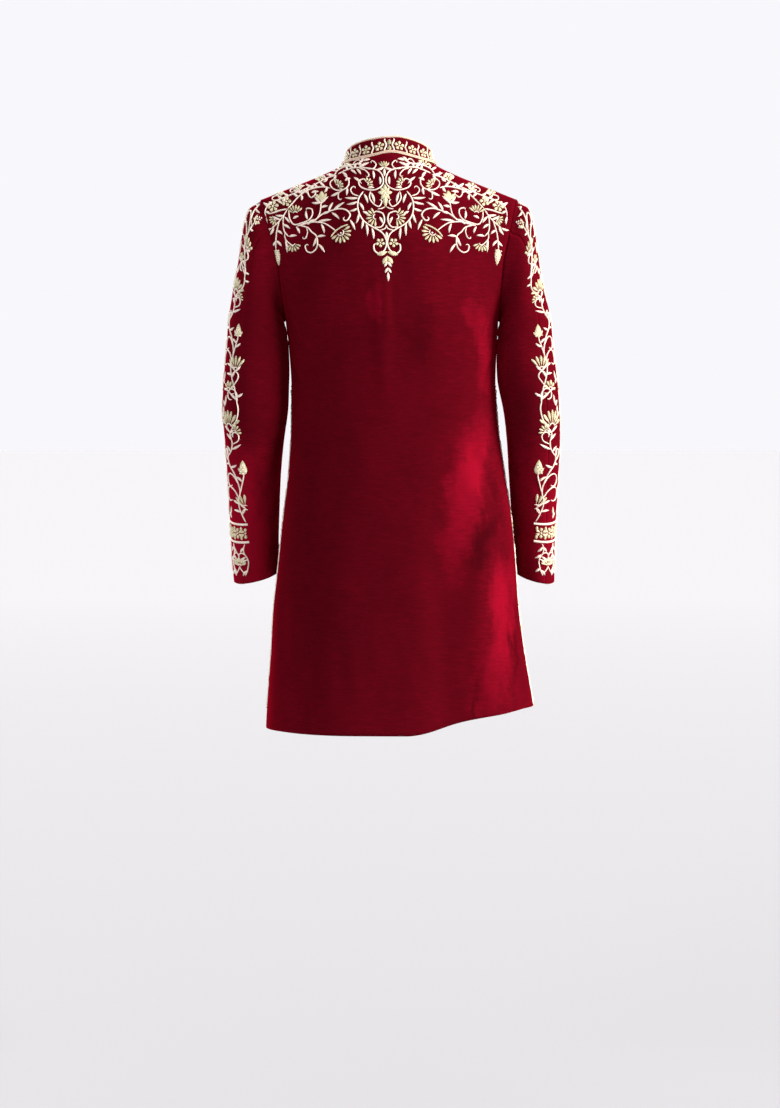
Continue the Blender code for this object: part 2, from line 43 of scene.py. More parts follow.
# Cloth, seams and trims
WALL = 0.002                 # velvet on its backing
COLLAR_WALL = 0.003          # stiffened band
SEAM_GAP = 0.0003            # between two pieces of one seam
COLLAR_GAP = 0.0002          # between the band and the neck edge
ARMHOLE_GAP = 0.0017         # the sleeve's edge stands this far out from the armhole's
LAP_STEP = WALL + 0.0006     # how far the under front lies behind the upper one
CLEARANCE = 0.0026           # between a sleeve and the body that it lies against

# Body: levels and rings
ARMPIT_Z = -0.255
HEM_Z = -0.945
HEM_LIFT = 0.037             # the hem rides up by this much at the wearer's right side
HEM_LIFT_START = -0.05       # and begins to, this share of the half width from the middle (left is positive)
RING_POWER = 2.35            # 2 is an ellipse; more is squarer
SIDE_SEAM_DEG = 84.0         # from the middle of the back; the seam lies a little behind the side
SEAM_EASE = 0.12             # below the armpit, the height in which the seam gets there
Ring = namedtuple("Ring", "z half_width shift back front")
BODY = rows(Ring, (
    # half_width and shift place the side seams; back and front are depths from them
    (-0.960, 0.2310, -0.0210, 0.158, 0.150),
    (-0.897, 0.2255, -0.0185, 0.152, 0.146),
    (-0.821, 0.2160, -0.0150, 0.146, 0.141),
    (-0.744, 0.2085, -0.0120, 0.141, 0.136),
    (-0.668, 0.2015, -0.0135, 0.136, 0.131),
    (-0.591, 0.1940, -0.0140, 0.128, 0.127),
    (-0.515, 0.1835, -0.0130, 0.116, 0.124),
    (-0.438, 0.1755, -0.0100, 0.108, 0.122),
    (-0.362, 0.1730, -0.0075, 0.110, 0.123),
    (-0.294, 0.1765, -0.0065, 0.119, 0.126),
    (ARMPIT_Z, 0.1800, -0.0050, 0.124, 0.127),
))

# Soft folds, as outward swells of the body's cloth (negative depth is a hollow)
Fold = namedtuple("Fold", "angle_deg width_deg top_z bottom_z depth")
FOLDS = rows(Fold, (
    # angle from the middle of the back, positive towards the wearer's left
    (8.0, 7.0, -0.120, -0.420, 0.0035),
    (-30.0, 11.0, -0.500, -1.100, -0.0060),
    (-52.0, 10.0, -0.430, -1.100, 0.0090),
    (-72.0, 8.0, -0.640, -1.100, -0.0050),
    (38.0, 14.0, -0.560, -1.100, 0.0050),
    (66.0, 10.0, -0.600, -1.100, -0.0040),
    (122.0, 13.0, -0.520, -1.100, 0.0070),
    (150.0, 11.0, -0.560, -1.100, -0.0050),
    (-124.0, 12.0, -0.520, -1.100, 0.0070),
    (-152.0, 10.0, -0.560, -1.100, -0.0050),
))

# Neck, shoulders and armholes
NECK_HALF = 0.077            # the neck opening, seen from above, is two half ellipses
NECK_BACK_DEPTH, NECK_FRONT_DEPTH = 0.070, 0.083
NECK_SIDE_Y, NECK_SIDE_Z = -0.002, 0.004
NECK_RISE, NECK_RISE_WIDTH = 0.024, 0.060   # how the shoulder line would go on rising inside the neck
SHOULDER_X, SHOULDER_Y = 0.215, -0.008
SHOULDER_FALL = 0.39         # slope of the shoulder seam
SHOULDER_SOFT = 0.025        # how roundly the two slopes meet
NECK_DEG = 40.0              # columns nearer the middle than this end on the neck edge
ARMHOLE_DEG = 70.0           # the column that ends on the shoulder point
ARMHOLE_ROUND = 0.34         # share of the rise in which the armhole's foot rounds out
SHOULDER_BUNCH = 1.4         # columns stand closer together next to the neck
SHOULDER_BEYOND = 0.12       # how far past the shoulder point the outermost columns aim
BACK_ROLL, FRONT_ROLL_MIDDLE, FRONT_ROLL_SIDE = 2.6, 1.75, 2.5   # how squarely the cloth rolls over

# Front closing: the wearer's left front laps over the right
LAP_HALF = 0.018
LAP_BLEND = 0.030
BUTTONS = 7

# Collar band and its two rolled cords
CollarHeight = namedtuple("CollarHeight", "turn height")
COLLAR_HEIGHTS = rows(CollarHeight, (
    # turn: 0 at the middle of the back, 0.5 at the side, 1 at the middle of the front
    (0.0, 0.0274),
    (0.1, 0.0306),
    (0.2, 0.0316),
    (0.3, 0.0294),
    (0.4, 0.0254),
    (0.5, 0.0228),
    (0.6, 0.0230),
    (1.0, 0.0236),
))
COLLAR_LEAN, COLLAR_FORWARD = 0.24, 0.14   # inward and forward for each unit up
COLLAR_END_GAP = 0.008       # between the two ends, at the middle of the front
COLLAR_ROUND = 0.020         # length over which each end rounds off
COLLAR_END_SHARE = 0.45      # height of the very end, as a share of the band's
TOP_CORD, BASE_CORD = 0.0016, 0.0022   # radii

# Sleeves: outline seen from behind, for each side, and depth. z_outer and z_inner differ
# where the section is tipped, as round the sleeve's head.
Sleeve = namedtuple("Sleeve", "z_outer z_inner left_out left_in right_out right_in half_depth mid_y")
SLEEVE = rows(Sleeve, (
    (-0.0610, -0.2575, 0.2345, 0.1775, 0.2345, 0.1875, 0.0610, -0.004),
    (-0.1000, -0.2600, 0.2445, 0.1785, 0.2435, 0.1885, 0.0645, -0.003),
    (-0.1500, -0.2630, 0.2520, 0.1780, 0.2510, 0.1880, 0.0670, -0.001),
    (-0.2000, -0.2680, 0.2610, 0.1740, 0.2590, 0.1850, 0.0680, 0.001),
    (-0.2500, -0.2850, 0.2690, 0.1700, 0.2710, 0.1820, 0.0680, 0.003),
    (-0.3100, -0.3180, 0.2740, 0.1680, 0.2770, 0.1810, 0.0660, 0.005),
    (-0.3620, -0.3620, 0.2785, 0.1710, 0.2835, 0.1865, 0.0630, 0.006),
    (-0.4100, -0.4080, 0.2800, 0.1730, 0.2870, 0.1960, 0.0590, 0.005),
    (-0.4600, -0.4560, 0.2765, 0.1800, 0.2885, 0.2020, 0.0550, -0.002),
    (-0.5200, -0.5140, 0.2730, 0.1860, 0.2865, 0.2060, 0.0510, -0.014),
    (-0.5900, -0.5800, 0.2705, 0.1895, 0.2840, 0.2110, 0.0470, -0.032),
    (-0.6500, -0.6360, 0.2680, 0.1915, 0.2825, 0.2150, 0.0450, -0.046),
    (-0.6980, -0.6800, 0.2655, 0.1905, 0.2830, 0.2170, 0.0440, -0.057),
))
SLEEVE_POWER = 2.15
HIND_SEAM_DEG = 61.0         # from the sleeve's outer line round the back
FORE_SEAM_DEG = -112.0       # and round the front
ARMHOLE_HALF_DEPTH = 0.058
ARMHOLE_DECAY = 3.0          # sections over which the armhole's own shape fades out

# How the cloth is divided, the same as in the solids
FRONT_NECK_SHARE = 10 / 16   # share of a front that runs to the neck edge
LOWER_SHARE = 17 / 27        # share of the body's rows that lie below the armpit
ROUNDING_BUNCH = 1.25        # how much closer the rows stand where the armhole rounds out
COLLAR_COLUMNS, COLLAR_END_COLUMNS = 48, 4
CORD_COLUMNS = 48
SLEEVE_COLUMNS, COLUMNS_BEYOND = 44, 14   # of the sleeve's pattern, and past the hind seam


def smooth(share):
    """0 to 1 with level ends."""
    share = min(1.0, max(0.0, share))
    return share * share * (3 - 2 * share)


def blend(low, high, share):
    return low + (high - low) * share


def eased(before, start, end, after, t):
    """From start to end on a smooth curve that also heeds the values before and after."""
    leave, arrive = (end - before) / 2, (after - start) / 2
    bent = 3 * (end - start) - 2 * leave - arrive
    return start + (leave + (bent + (2 * (start - end) + leave + arrive) * t) * t) * t


def eased_row(table, position):
    """The table's row at a position counted in rows, on a smooth curve through all of them."""
    i = min(len(table) - 2, max(0, int(position)))
    near = table[max(0, i - 1)], table[i], table[i + 1], table[min(len(table) - 1, i + 2)]
    return type(table[0])(*(eased(*values, position - i) for values in zip(*near)))


def smoother(points, each=4):
    """A finer line through the points, on a smooth curve."""
    last = len(points) - 1
    fine = []
    for i in range(last):
        near = points[max(0, i - 1)], points[i], points[i + 1], points[min(last, i + 2)]
        fine += [eased(*near, k / each) for k in range(each)]
    return fine + [points[-1]]


def ring_at(z):
    """The body's ring at a height, eased between the rows of its table."""
    low, high = 0, len(BODY) - 1
    for i in range(len(BODY) - 1):
        if BODY[i].z <= z:
            low = i
    if z >= BODY[high].z:
        return BODY[high]
    share = (z - BODY[low].z) / (BODY[low + 1].z - BODY[low].z)
    return eased_row(BODY, low + max(0.0, share))


def swell(angle, z):
    """How far the soft folds push the cloth out at an angle and height."""
    total = 0.0
    for fold in FOLDS:
        away = math.degrees(angle) - fold.angle_deg
        away = (away + 180) % 360 - 180
        across = math.exp(-((away / fold.width_deg) ** 2))
        down = (fold.top_z - z) / (fold.top_z - fold.bottom_z)
        if 0 < down < 1:
            rise = smooth(down * 2.5)
            fade = 1.0 if fold.bottom_z < HEM_Z else smooth((1 - down) * 2.5)
            total += fold.depth * across * rise * fade
    return total


def on_ring(angle, z):
    """A point of the body below the armpit. Angle 0 is the middle of the back, +90 degrees the left side."""
    ring = ring_at(z)
    across, along = math.sin(angle), math.cos(angle)
    depth = ring.back if along > 0 else ring.front
    shares = abs(across) / ring.half_width, abs(along) / depth
    radius = sum(share ** RING_POWER for share in shares) ** (-1 / RING_POWER) + swell(angle, z)
    return Vector((ring.shift + radius * across, radius * along, z))


def shoulder_line(degrees):
    """Where a column would end on top of the shoulder, or inside the neck opening."""
    if degrees <= NECK_DEG:
        x = NECK_HALF * math.sin(degrees / NECK_DEG * math.pi / 2)
    else:
        out = ((degrees - NECK_DEG) / (ARMHOLE_DEG - NECK_DEG)) ** SHOULDER_BUNCH
        if out > 1:
            out = 1 + SHOULDER_BEYOND * (1 - math.exp((1 - out) / SHOULDER_BEYOND))
        x = blend(NECK_HALF, SHOULDER_X, out)
    rounded = math.hypot(x, SHOULDER_SOFT)
    y = NECK_SIDE_Y + (SHOULDER_Y - NECK_SIDE_Y) * (x / SHOULDER_X) ** 2
    z = NECK_SIDE_Z - SHOULDER_FALL * (rounded - NECK_HALF)
    return Vector((x, y, z + NECK_RISE * math.exp(-((x / NECK_RISE_WIDTH) ** 2))))


def on_roll(angle, psi, front):
    """A point above the armpit. psi turns from 0 at the armpit to 90 degrees on the shoulder line."""
    side, degrees = math.copysign(1, angle), abs(math.degrees(angle))
    ring_angle = math.pi - angle if front else angle
    start, end = on_ring(ring_angle, ARMPIT_Z), shoulder_line(degrees)
    power = blend(FRONT_ROLL_MIDDLE, FRONT_ROLL_SIDE, smooth(degrees / ARMHOLE_DEG)) if front else BACK_ROLL
    c, s = max(0.0, math.cos(psi)), math.sin(psi)
    radius = (c ** power + s ** power) ** (-1 / power)
    level, up = radius * c, radius * s
    z = blend(start.z, end.z, up)
    push = (swell(ring_angle, z) - swell(ring_angle, ARMPIT_Z)) * (-1 if front else 1)
    gap = SEAM_GAP * (-0.6 if front else 0.6)
    return Vector((blend(start.x, side * end.x, up), blend(end.y + gap, start.y, level) + push, z))


@functools.lru_cache(maxsize=None)
def last_psi(angle, front):
    """Where a column ends: on the shoulder line, or short of it where it meets the neck edge."""
    if abs(math.degrees(angle)) >= NECK_DEG:
        return math.pi / 2
    depth = NECK_FRONT_DEPTH if front else NECK_BACK_DEPTH
    low, high = 0.0, math.pi / 2
    for _ in range(24):
        middle = (low + high) / 2
        place = on_roll(angle, middle, front)
        if (place.x / NECK_HALF) ** 2 + ((place.y - NECK_SIDE_Y) / depth) ** 2 > 1:
            low = middle
        else:
            high = middle
    return low


def on_yoke(angle, rise, front):
    """A point above the armpit. angle is from the middle of this half, rise from 0 to 1 at the top edge."""
    return on_roll(angle, rise * last_psi(angle, front), front)


def hem_z(angle):
    """The hem's height: level, but for the wearer's right side, where it rides up."""
    return HEM_Z + HEM_LIFT * smooth((HEM_LIFT_START - math.sin(angle)) / (HEM_LIFT_START + 1))


def on_body(angle, level, front):
    """The body's outer face. level runs from -1 at the hem through 0 at the armpit to 1 at the top edge."""
    if level >= 0:
        return on_yoke(angle, level, front)
    ring_angle = math.pi - angle if front else angle
    return on_ring(ring_angle, ARMPIT_Z + (ARMPIT_Z - hem_z(ring_angle)) * level)


def body_level(share):
    """Rows to levels: even below the armpit, and closer together where the armhole rounds out."""
    if share < LOWER_SHARE:
        return share / LOWER_SHARE - 1
    return ((share - LOWER_SHARE) / (1 - LOWER_SHARE)) ** ROUNDING_BUNCH


def side_angle(level, front):
    """The angle at which a panel ends: the side seam below the armpit, the armhole's edge above."""
    if level >= 0:
        low = min(1.0, level / ARMHOLE_ROUND)
        rounding = 1 - math.sqrt(max(0.0, 1 - (1 - low) ** 2))
        degrees = blend(ARMHOLE_DEG, 90.0, rounding)
    else:
        depth = (ARMPIT_Z - HEM_Z) * -level
        degrees = blend(90.0, SIDE_SEAM_DEG, smooth(depth / SEAM_EASE))
        degrees = 180.0 - degrees if front else degrees
    return math.radians(degrees)


def lap_angle(level):
    """How far past the middle of the front a front panel runs, for a straight lap."""
    if level < 0:
        z = ARMPIT_Z + (ARMPIT_Z - HEM_Z) * level
        return math.atan(LAP_HALF / ring_at(z).front)
    at_ring = math.atan(LAP_HALF / BODY[-1].front)
    at_neck = math.radians(NECK_DEG) * math.asin(LAP_HALF / NECK_HALF) / (math.pi / 2)
    return blend(at_ring, at_neck, level)


def back_face(u, v):
    level = body_level(v)
    angle = blend(1, -1, u) * side_angle(level, False)
    return on_body(angle, level, False)


def front_angle(share, level):
    """From the lap's edge at 0 to the side at 1, with one column on the neck's corner."""
    side = side_angle(level, True)
    corner = side * NECK_DEG / ARMHOLE_DEG
    if share < FRONT_NECK_SHARE:
        return blend(-lap_angle(level), corner, share / FRONT_NECK_SHARE)
    return blend(corner, side, (share - FRONT_NECK_SHARE) / (1 - FRONT_NECK_SHARE))


def left_front_face(u, v):
    """From the lap's edge, past the middle, round to the wearer's left side."""
    level = body_level(v)
    return on_body(front_angle(u, level), level, True)


def right_front_face(u, v):
    """From the wearer's right side to under the left front, where the cloth steps back."""
    level = body_level(v)
    angle = -front_angle(1 - u, level)
    place = on_body(angle, level, True)
    edge = on_body(-lap_angle(level), level, True)
    under = smooth((place.x - edge.x + LAP_BLEND) / (LAP_BLEND - 0.003))
    if under == 0:
        return place
    step = 0.002
    across = on_body(angle + step, level, True) - on_body(angle - step, level, True)
    high = min(1.0, level + step)
    upward = on_body(angle, high, True) - on_body(angle, high - 2 * step, True)
    return place - across.cross(upward).normalized() * LAP_STEP * under


def armhole(side):
    """The armhole's edge as points: from the shoulder down the back to the armpit, and up the front."""
    steps = 60
    back = [on_yoke(side * side_angle(1 - i / steps, False), 1 - i / steps, False) for i in range(steps)]
    front = [on_yoke(side * side_angle(i / steps, True), i / steps, True) for i in range(1, steps + 1)]
    armpit = on_yoke(side * math.radians(90), 0.0, False)
    return back + [armpit], [armpit] + front


def along(points, share):
    """The point at a share of a polyline's length."""
    lengths = [0.0]
    for a, b in zip(points, points[1:]):
        lengths.append(lengths[-1] + (b - a).length)
    want = share * lengths[-1]
    for i in range(len(points) - 1):
        if want <= lengths[i + 1] or i == len(points) - 2:
            return points[i].lerp(points[i + 1], (want - lengths[i]) / (lengths[i + 1] - lengths[i]))


def clear_of_body(place, side):
    """The place, moved sideways if needed so that it stays just clear of the body below the armpit."""
    ring = ring_at(min(place.z, ARMPIT_Z))
    depth = ring.back if place.y > 0 else ring.front
    inside = 1 - min(1.0, abs(place.y) / depth) ** RING_POWER
    edge = ring.half_width * inside ** (1 / RING_POWER)
    swollen = swell(side * math.pi / 2 * (1 if place.y < 0 else 0.85), place.z)
    least = edge + side * ring.shift + CLEARANCE + max(0.0, swollen)
    reach = side * place.x
    over = reach - least
    soft = 0.004
    if over < soft:
        reach = least + soft * math.exp((over - soft) / soft)
    return Vector((side * reach, place.y, place.z))


SleeveRow = namedtuple("SleeveRow", "z_outer z_inner outer inner half_depth mid_y")


class SleeveForm:
    """One sleeve's lining side: sections down the arm, the first of them the armhole itself."""

    def __init__(self, side):
        self.side = side
        self.back, self.front = armhole(side)
        shoulder, armpit = self.back[0], self.back[-1]
        outer, inner = ("left_out", "left_in") if side > 0 else ("right_out", "right_in")
        first = (shoulder.z, armpit.z, side * shoulder.x, side * armpit.x, ARMHOLE_HALF_DEPTH,
                 (shoulder.y + armpit.y) / 2)
        others = [(row.z_outer, row.z_inner, getattr(row, outer), getattr(row, inner), row.half_depth,
                   row.mid_y) for row in SLEEVE]
        self.rows = rows(SleeveRow, [first] + others)

    def section(self, position, angle):
        """A point on a section's plain squared ellipse. Angle 0 is its outer line, +90 degrees its back."""
        row = eased_row(self.rows, position)
        ahead = eased_row(self.rows, min(len(self.rows) - 1.0, position + 0.5))
        behind = eased_row(self.rows, max(0.0, position - 0.5))
        outer = Vector((self.side * row.outer, row.mid_y, row.z_outer))
        inner = Vector((self.side * row.inner, row.mid_y, row.z_inner))
        fall = (behind.z_outer + behind.z_inner - ahead.z_outer - ahead.z_inner) / 2
        tip = (ahead.mid_y - behind.mid_y) / max(fall, 0.02)
        backward = Vector((0, 1, tip * smooth(position - 1))).normalized()
        c, s = math.cos(angle), math.sin(angle)
        radius = (abs(c) ** SLEEVE_POWER + abs(s) ** SLEEVE_POWER) ** (-1 / SLEEVE_POWER)
        return (outer + inner) / 2 + (outer - inner) / 2 * radius * c + backward * row.half_depth * radius * s

    def armhole_point(self, angle):
        turn = (angle / math.pi) % 2
        place = along(self.back, turn) if turn <= 1 else along(self.front, turn - 1)
        foot = (1 - math.cos(angle)) / 2
        return place + Vector((self.side * ARMHOLE_GAP, 0, SEAM_GAP * 2 * foot))

    def face(self, angle, down):
        """down runs from 0 at the armhole to 1 at the cuff."""
        position = down * (len(self.rows) - 1)
        place = self.section(position, angle)
        if position < ARMHOLE_DECAY:
            keep = 1 - smooth(position / ARMHOLE_DECAY)
            place += (self.armhole_point(angle) - self.section(0.0, angle)) * keep
        if position > 0 and place.z < ARMPIT_Z + 0.01:
            place = place.lerp(clear_of_body(place, self.side), smooth(position * 2))
        return place


def collar_base(turn):
    """The neck edge all round: turn 0 at the middle of the back, 1 and -1 at the middle of the front."""
    side, front = math.copysign(1, turn), abs(turn) > 0.5
    share = 2 - 2 * abs(turn) if front else 2 * abs(turn)
    return on_yoke(side * math.radians(NECK_DEG) * share, 1.0, front)


def away_from_neck(turn):
    base = collar_base(turn)
    return Vector((base.x, base.y - (NECK_BACK_DEPTH - NECK_FRONT_DEPTH) / 2 - NECK_SIDE_Y, 0)).normalized()


def collar_lean(turn):
    """The way the band rises: up, in towards the neck, and forward as the neck leans."""
    return (Vector((0, -COLLAR_FORWARD, 1)) - away_from_neck(turn) * COLLAR_LEAN).normalized()


END_TURN = 1 - COLLAR_END_GAP / 2 / (NECK_HALF * math.pi / 2) / 2


def collar_height(turn):
    """Full height, rounding down towards each end of the band."""
    left = (END_TURN - abs(turn)) * 2 * NECK_HALF * math.pi / 2
    share = min(1.0, max(0.0, left / COLLAR_ROUND))
    full = eased_row(COLLAR_HEIGHTS, min(6.0, abs(turn) * 10)).height
    return full * blend(COLLAR_END_SHARE, 1.0, math.sqrt(1 - (1 - share) ** 2))


def collar_turn(u):
    """Columns to turns: a few close together round each rounded end, the others even."""
    column = min(u, 1 - u) * COLLAR_COLUMNS
    rounded = COLLAR_ROUND / (NECK_HALF * math.pi)
    if column < COLLAR_END_COLUMNS:
        left = rounded * (1 - math.cos(column / COLLAR_END_COLUMNS * math.pi / 2))
    else:
        even = (column - COLLAR_END_COLUMNS) / (COLLAR_COLUMNS / 2 - COLLAR_END_COLUMNS)
        left = blend(rounded, END_TURN, even)
    return (END_TURN - left) * (1 if u < 0.5 else -1)


def on_band(turn, height):
    return collar_base(turn) + Vector((0, 0, COLLAR_GAP)) + collar_lean(turn) * height


def collar_face(u, v):
    turn = collar_turn(u)
    return on_band(turn, collar_height(turn) * v)


def top_cord_points():
    """Up one end of the band, round its corner, along its top edge and down the other end."""
    top = [(collar_turn(i / CORD_COLUMNS), 1.0) for i in range(CORD_COLUMNS + 1)]
    side = [(END_TURN, share) for share in (0.15, 0.4, 0.7)]
    edge = side + top + [(-turn, share) for turn, share in reversed(side)]
    stand_off = TOP_CORD + SEAM_GAP
    points = []
    for i, (turn, share) in enumerate(edge):
        before, after = edge[max(0, i - 1)], edge[min(len(edge) - 1, i + 1)]
        a, b = (on_band(t, collar_height(t) * h) for t, h in (before, after))
        out = away_from_neck(turn)
        beyond = out.cross(b - a).normalized()
        middle = on_band(turn, collar_height(turn) * share) - out * COLLAR_WALL / 2
        points.append(middle + beyond * stand_off)
    return points


def cloth_at_neck(turn):
    """The outward unit normal of the front's or back's cloth at the neck edge."""
    side, front, step = math.copysign(1, turn), abs(turn) > 0.5, 0.004
    share = 2 - 2 * abs(turn) if front else 2 * abs(turn)
    angle = side * math.radians(NECK_DEG) * min(share, 0.98)
    round_neck = on_body(angle + step, 1.0, front) - on_body(angle - step, 1.0, front)
    rise = on_body(angle, 1.0, front) - on_body(angle, 1 - step * 2, front)
    normal = round_neck.cross(rise).normalized()
    return normal if normal.z > 0 else -normal


def base_cord_points():
    """Along the foot of the band, in the corner between its outer face and the cloth."""
    stand_off = BASE_CORD + SEAM_GAP * 2.5
    points = []
    for i in range(CORD_COLUMNS + 1):
        turn = blend(END_TURN, -END_TURN, i / CORD_COLUMNS)
        out, lean, normal = away_from_neck(turn), collar_lean(turn), cloth_at_neck(turn)
        height = stand_off * (1 - normal.dot(out)) / normal.dot(lean)
        points.append(collar_base(turn) + out * stand_off + lean * max(height, BASE_CORD))
    return points


# ---------------------------------------------------------------- folds and creases

Crease = namedtuple("Crease", "around down tilt_deg length width depth")
BODY_CREASES = rows(Crease, (
    # around: degrees from the middle of the back; down: height; tilt from level; sizes in metres
    (-56, -0.478, -34, 0.085, 0.005, -0.0036),
    (-50, -0.500, -20, 0.120, 0.009, 0.0018),
    (-62, -0.520, 66, 0.150, 0.010, -0.0030),
    (-50, -0.530, 74, 0.220, 0.016, 0.0028),
    (-66, -0.560, 80, 0.160, 0.009, -0.0022),
    (-38, -0.420, 8, 0.150, 0.006, -0.0012),
    (-20, -0.455, -4, 0.190, 0.007, -0.0012),
    (22, -0.430, 5, 0.210, 0.006, -0.0013),
    (48, -0.465, -9, 0.150, 0.007, -0.0014),
    (60, -0.395, 14, 0.110, 0.006, -0.0012),
    (4, -0.235, 86, 0.150, 0.008, 0.0012),
    (-64, -0.300, -58, 0.120, 0.008, -0.0022),
    (-70, -0.345, -50, 0.100, 0.007, -0.0018),
    (66, -0.290, 60, 0.130, 0.008, -0.0022),
    (72, -0.350, 48, 0.100, 0.007, -0.0018),
    (58, -0.215, 68, 0.100, 0.008, -0.0018),
    (-57, -0.220, -66, 0.100, 0.008, -0.0018),
    (-42, -0.860, 84, 0.150, 0.012, -0.0020),
    (-60, -0.880, 88, 0.110, 0.010, -0.0022),
    (34, -0.840, 88, 0.180, 0.014, -0.0016),
    (70, -0.760, 86, 0.200, 0.012, -0.0018),
    (112, -0.310, 50, 0.120, 0.008, -0.0022),
    (-112, -0.305, -52, 0.120, 0.008, -0.0022),
    (122, -0.420, 10, 0.150, 0.007, -0.0015),
    (-124, -0.440, -8, 0.160, 0.007, -0.0015),
    (118, -0.780, 86, 0.240, 0.014, -0.0022),
    (-120, -0.800, 88, 0.220, 0.013, -0.0022),
    (150, -0.860, 88, 0.160, 0.012, -0.0016),
    (-148, -0.840, 86, 0.180, 0.012, -0.0016),
))
SLEEVE_CREASES = rows(Crease, (
    # around: degrees from the outer line, positive to the back; down: metres from the shoulder
    (150, 0.225, 32, 0.090, 0.007, -0.0022),
    (120, 0.262, 24, 0.080, 0.006, -0.0017),
    (-140, 0.240, -30, 0.090, 0.007, -0.0020),
    (100, 0.345, 8, 0.070, 0.006, -0.0011),
    (140, 0.372, -6, 0.080, 0.005, -0.0014),
    (110, 0.398, 12, 0.090, 0.005, -0.0015),
    (150, 0.418, -10, 0.070, 0.005, -0.0017),
    (95, 0.436, 6, 0.080, 0.004, -0.0013),
    (130, 0.452, -4, 0.090, 0.005, -0.0016),
    (-120, 0.405, -14, 0.090, 0.006, -0.0020),
    (-140, 0.432, 6, 0.080, 0.006, -0.0022),
    (-115, 0.458, -6, 0.080, 0.005, -0.0016),
    (105, 0.474, 9, 0.075, 0.004, -0.0014),
    (150, 0.486, -8, 0.070, 0.005, -0.0015),
    (112, 0.503, -7, 0.085, 0.004, -0.0013),
    (138, 0.520, 5, 0.080, 0.005, -0.0015),
    (98, 0.536, -5, 0.065, 0.004, -0.0011),
    (126, 0.549, 9, 0.080, 0.004, -0.0013),
    (-125, 0.520, 8, 0.080, 0.005, -0.0014),
    (145, 0.572, -6, 0.070, 0.004, -0.0011),
))
HEM_TURN, CUFF_TURN = 0.080, 0.045   # depth of the turned-up cloth
TURN_RIDGE, TURN_WIDTH = 0.0007, 0.004   # how far it shows through, and how softly
TURN_TROUGH_DOWN, TURN_TROUGH_WIDTH, TURN_TROUGH = 0.008, 0.006, 0.4   # the dip above it
FOLD_START = 0.06                    # depth below the shoulder at which a sleeve's folds are full
BODY_ARC, SLEEVE_ARC = 0.0031, 0.00088   # metres round the cloth for each degree
CREASE_BOW = 0.12            # how much each one bends over its length
LIP, LIP_AWAY = 0.45, 1.7    # the swell beside it: share of its depth, and how many widths away


def creased(creases, around_deg, down, arc):
    """The summed depth of soft troughs and ridges at a place on the cloth."""
    total = 0.0
    for crease in creases:
        a = (around_deg - crease.around + 180) % 360 - 180
        a *= arc
        d = down - crease.down
        if abs(a) > crease.length or abs(d) > crease.length:
            continue
        tilt = math.radians(crease.tilt_deg)
        along = a * math.cos(tilt) + d * math.sin(tilt)
        across = d * math.cos(tilt) - a * math.sin(tilt)
        across -= CREASE_BOW * along * along / crease.length
        end = 1 - (2 * along / crease.length) ** 2
        if end <= 0:
            continue
        share = across / crease.width
        trough, lip = math.exp(-share * share), math.exp(-((share - LIP_AWAY) ** 2))
        total += crease.depth * end * end * (trough - LIP * lip)
    return total


def body_relief(place, u, v):
    """Folds of the body's cloth, and the turned-up hem showing through."""
    ring = ring_at(min(place.z, ARMPIT_Z))
    around = math.degrees(math.atan2(place.x - ring.shift, place.y))
    height = place.z
    total = creased(BODY_CREASES, around, height, BODY_ARC)
    above_hem = height - hem_z(math.radians(around))
    ridge = math.exp(-(((above_hem - HEM_TURN) / TURN_WIDTH) ** 2))
    trough = math.exp(-(((above_hem - HEM_TURN + TURN_TROUGH_DOWN) / TURN_TROUGH_WIDTH) ** 2))
    return total + TURN_RIDGE * (ridge - TURN_TROUGH * trough)


# ---------------------------------------------------------------- finishes

def rgb(code):
    """A linear colour from an sRGB hex code."""
    parts = [int(code[i:i + 2], 16) / 255 for i in (1, 3, 5)]
    return tuple(c / 12.92 if c <= 0.04045 else ((c + 0.055) / 1.055) ** 2.4 for c in parts) + (1.0,)


def add_node(tree, kind, links=(), stops=(), **settings):
    """One shader node. links: (its input, the other node, that node's output); stops: (place, hex colour).

    A setting that starts with in_ is the value of that input.
    """
    node = tree.nodes.new(kind)
    for name, value in settings.items():
        if name.startswith("in_"):
            key = name[3:].replace("_", " ")
            node.inputs[int(key) if key.isdigit() else key].default_value = value
        else:
            setattr(node, name, value)
    for i, (place, code) in enumerate(stops):
        elements = node.color_ramp.elements
        element = elements[i] if i < 2 else elements.new(place)
        element.position, element.color = place, rgb(code)
    for socket, source, output in links:
        tree.links.new(source.outputs[output], node.inputs[socket])
    return node


def new_material(name, **sockets):
    """A material with its shader's values set, and its coordinates."""
    material = bpy.data.materials.new(name)
    material.use_nodes = True
    tree = material.node_tree
    shader = tree.nodes["Principled BSDF"]
    for key, value in sockets.items():
        shader.inputs[key.replace("_", " ")].default_value = value
    return material, tree, shader, add_node(tree, "ShaderNodeTexCoord")


def add_colour(tree, shader, source, output, stops):
    """The shader's colour, from a value between the stops."""
    colour = add_node(tree, "ShaderNodeValToRGB", [("Fac", source, output)], stops)
    tree.links.new(colour.outputs["Color"], shader.inputs["Base Color"])


def bumps(tree, shader, layers):
    """Bumps one on another, the lowest first. layers: (pattern, strength, depth in metres)."""
    below = ()
    for pattern, strength, depth in layers:
        bump = add_node(tree, "ShaderNodeBump", (("Height", pattern, "Fac"), *below),
                        in_Strength=strength, in_Distance=depth)
        below = (("Normal", bump, "Normal"),)
    tree.links.new(bump.outputs["Normal"], shader.inputs["Normal"])


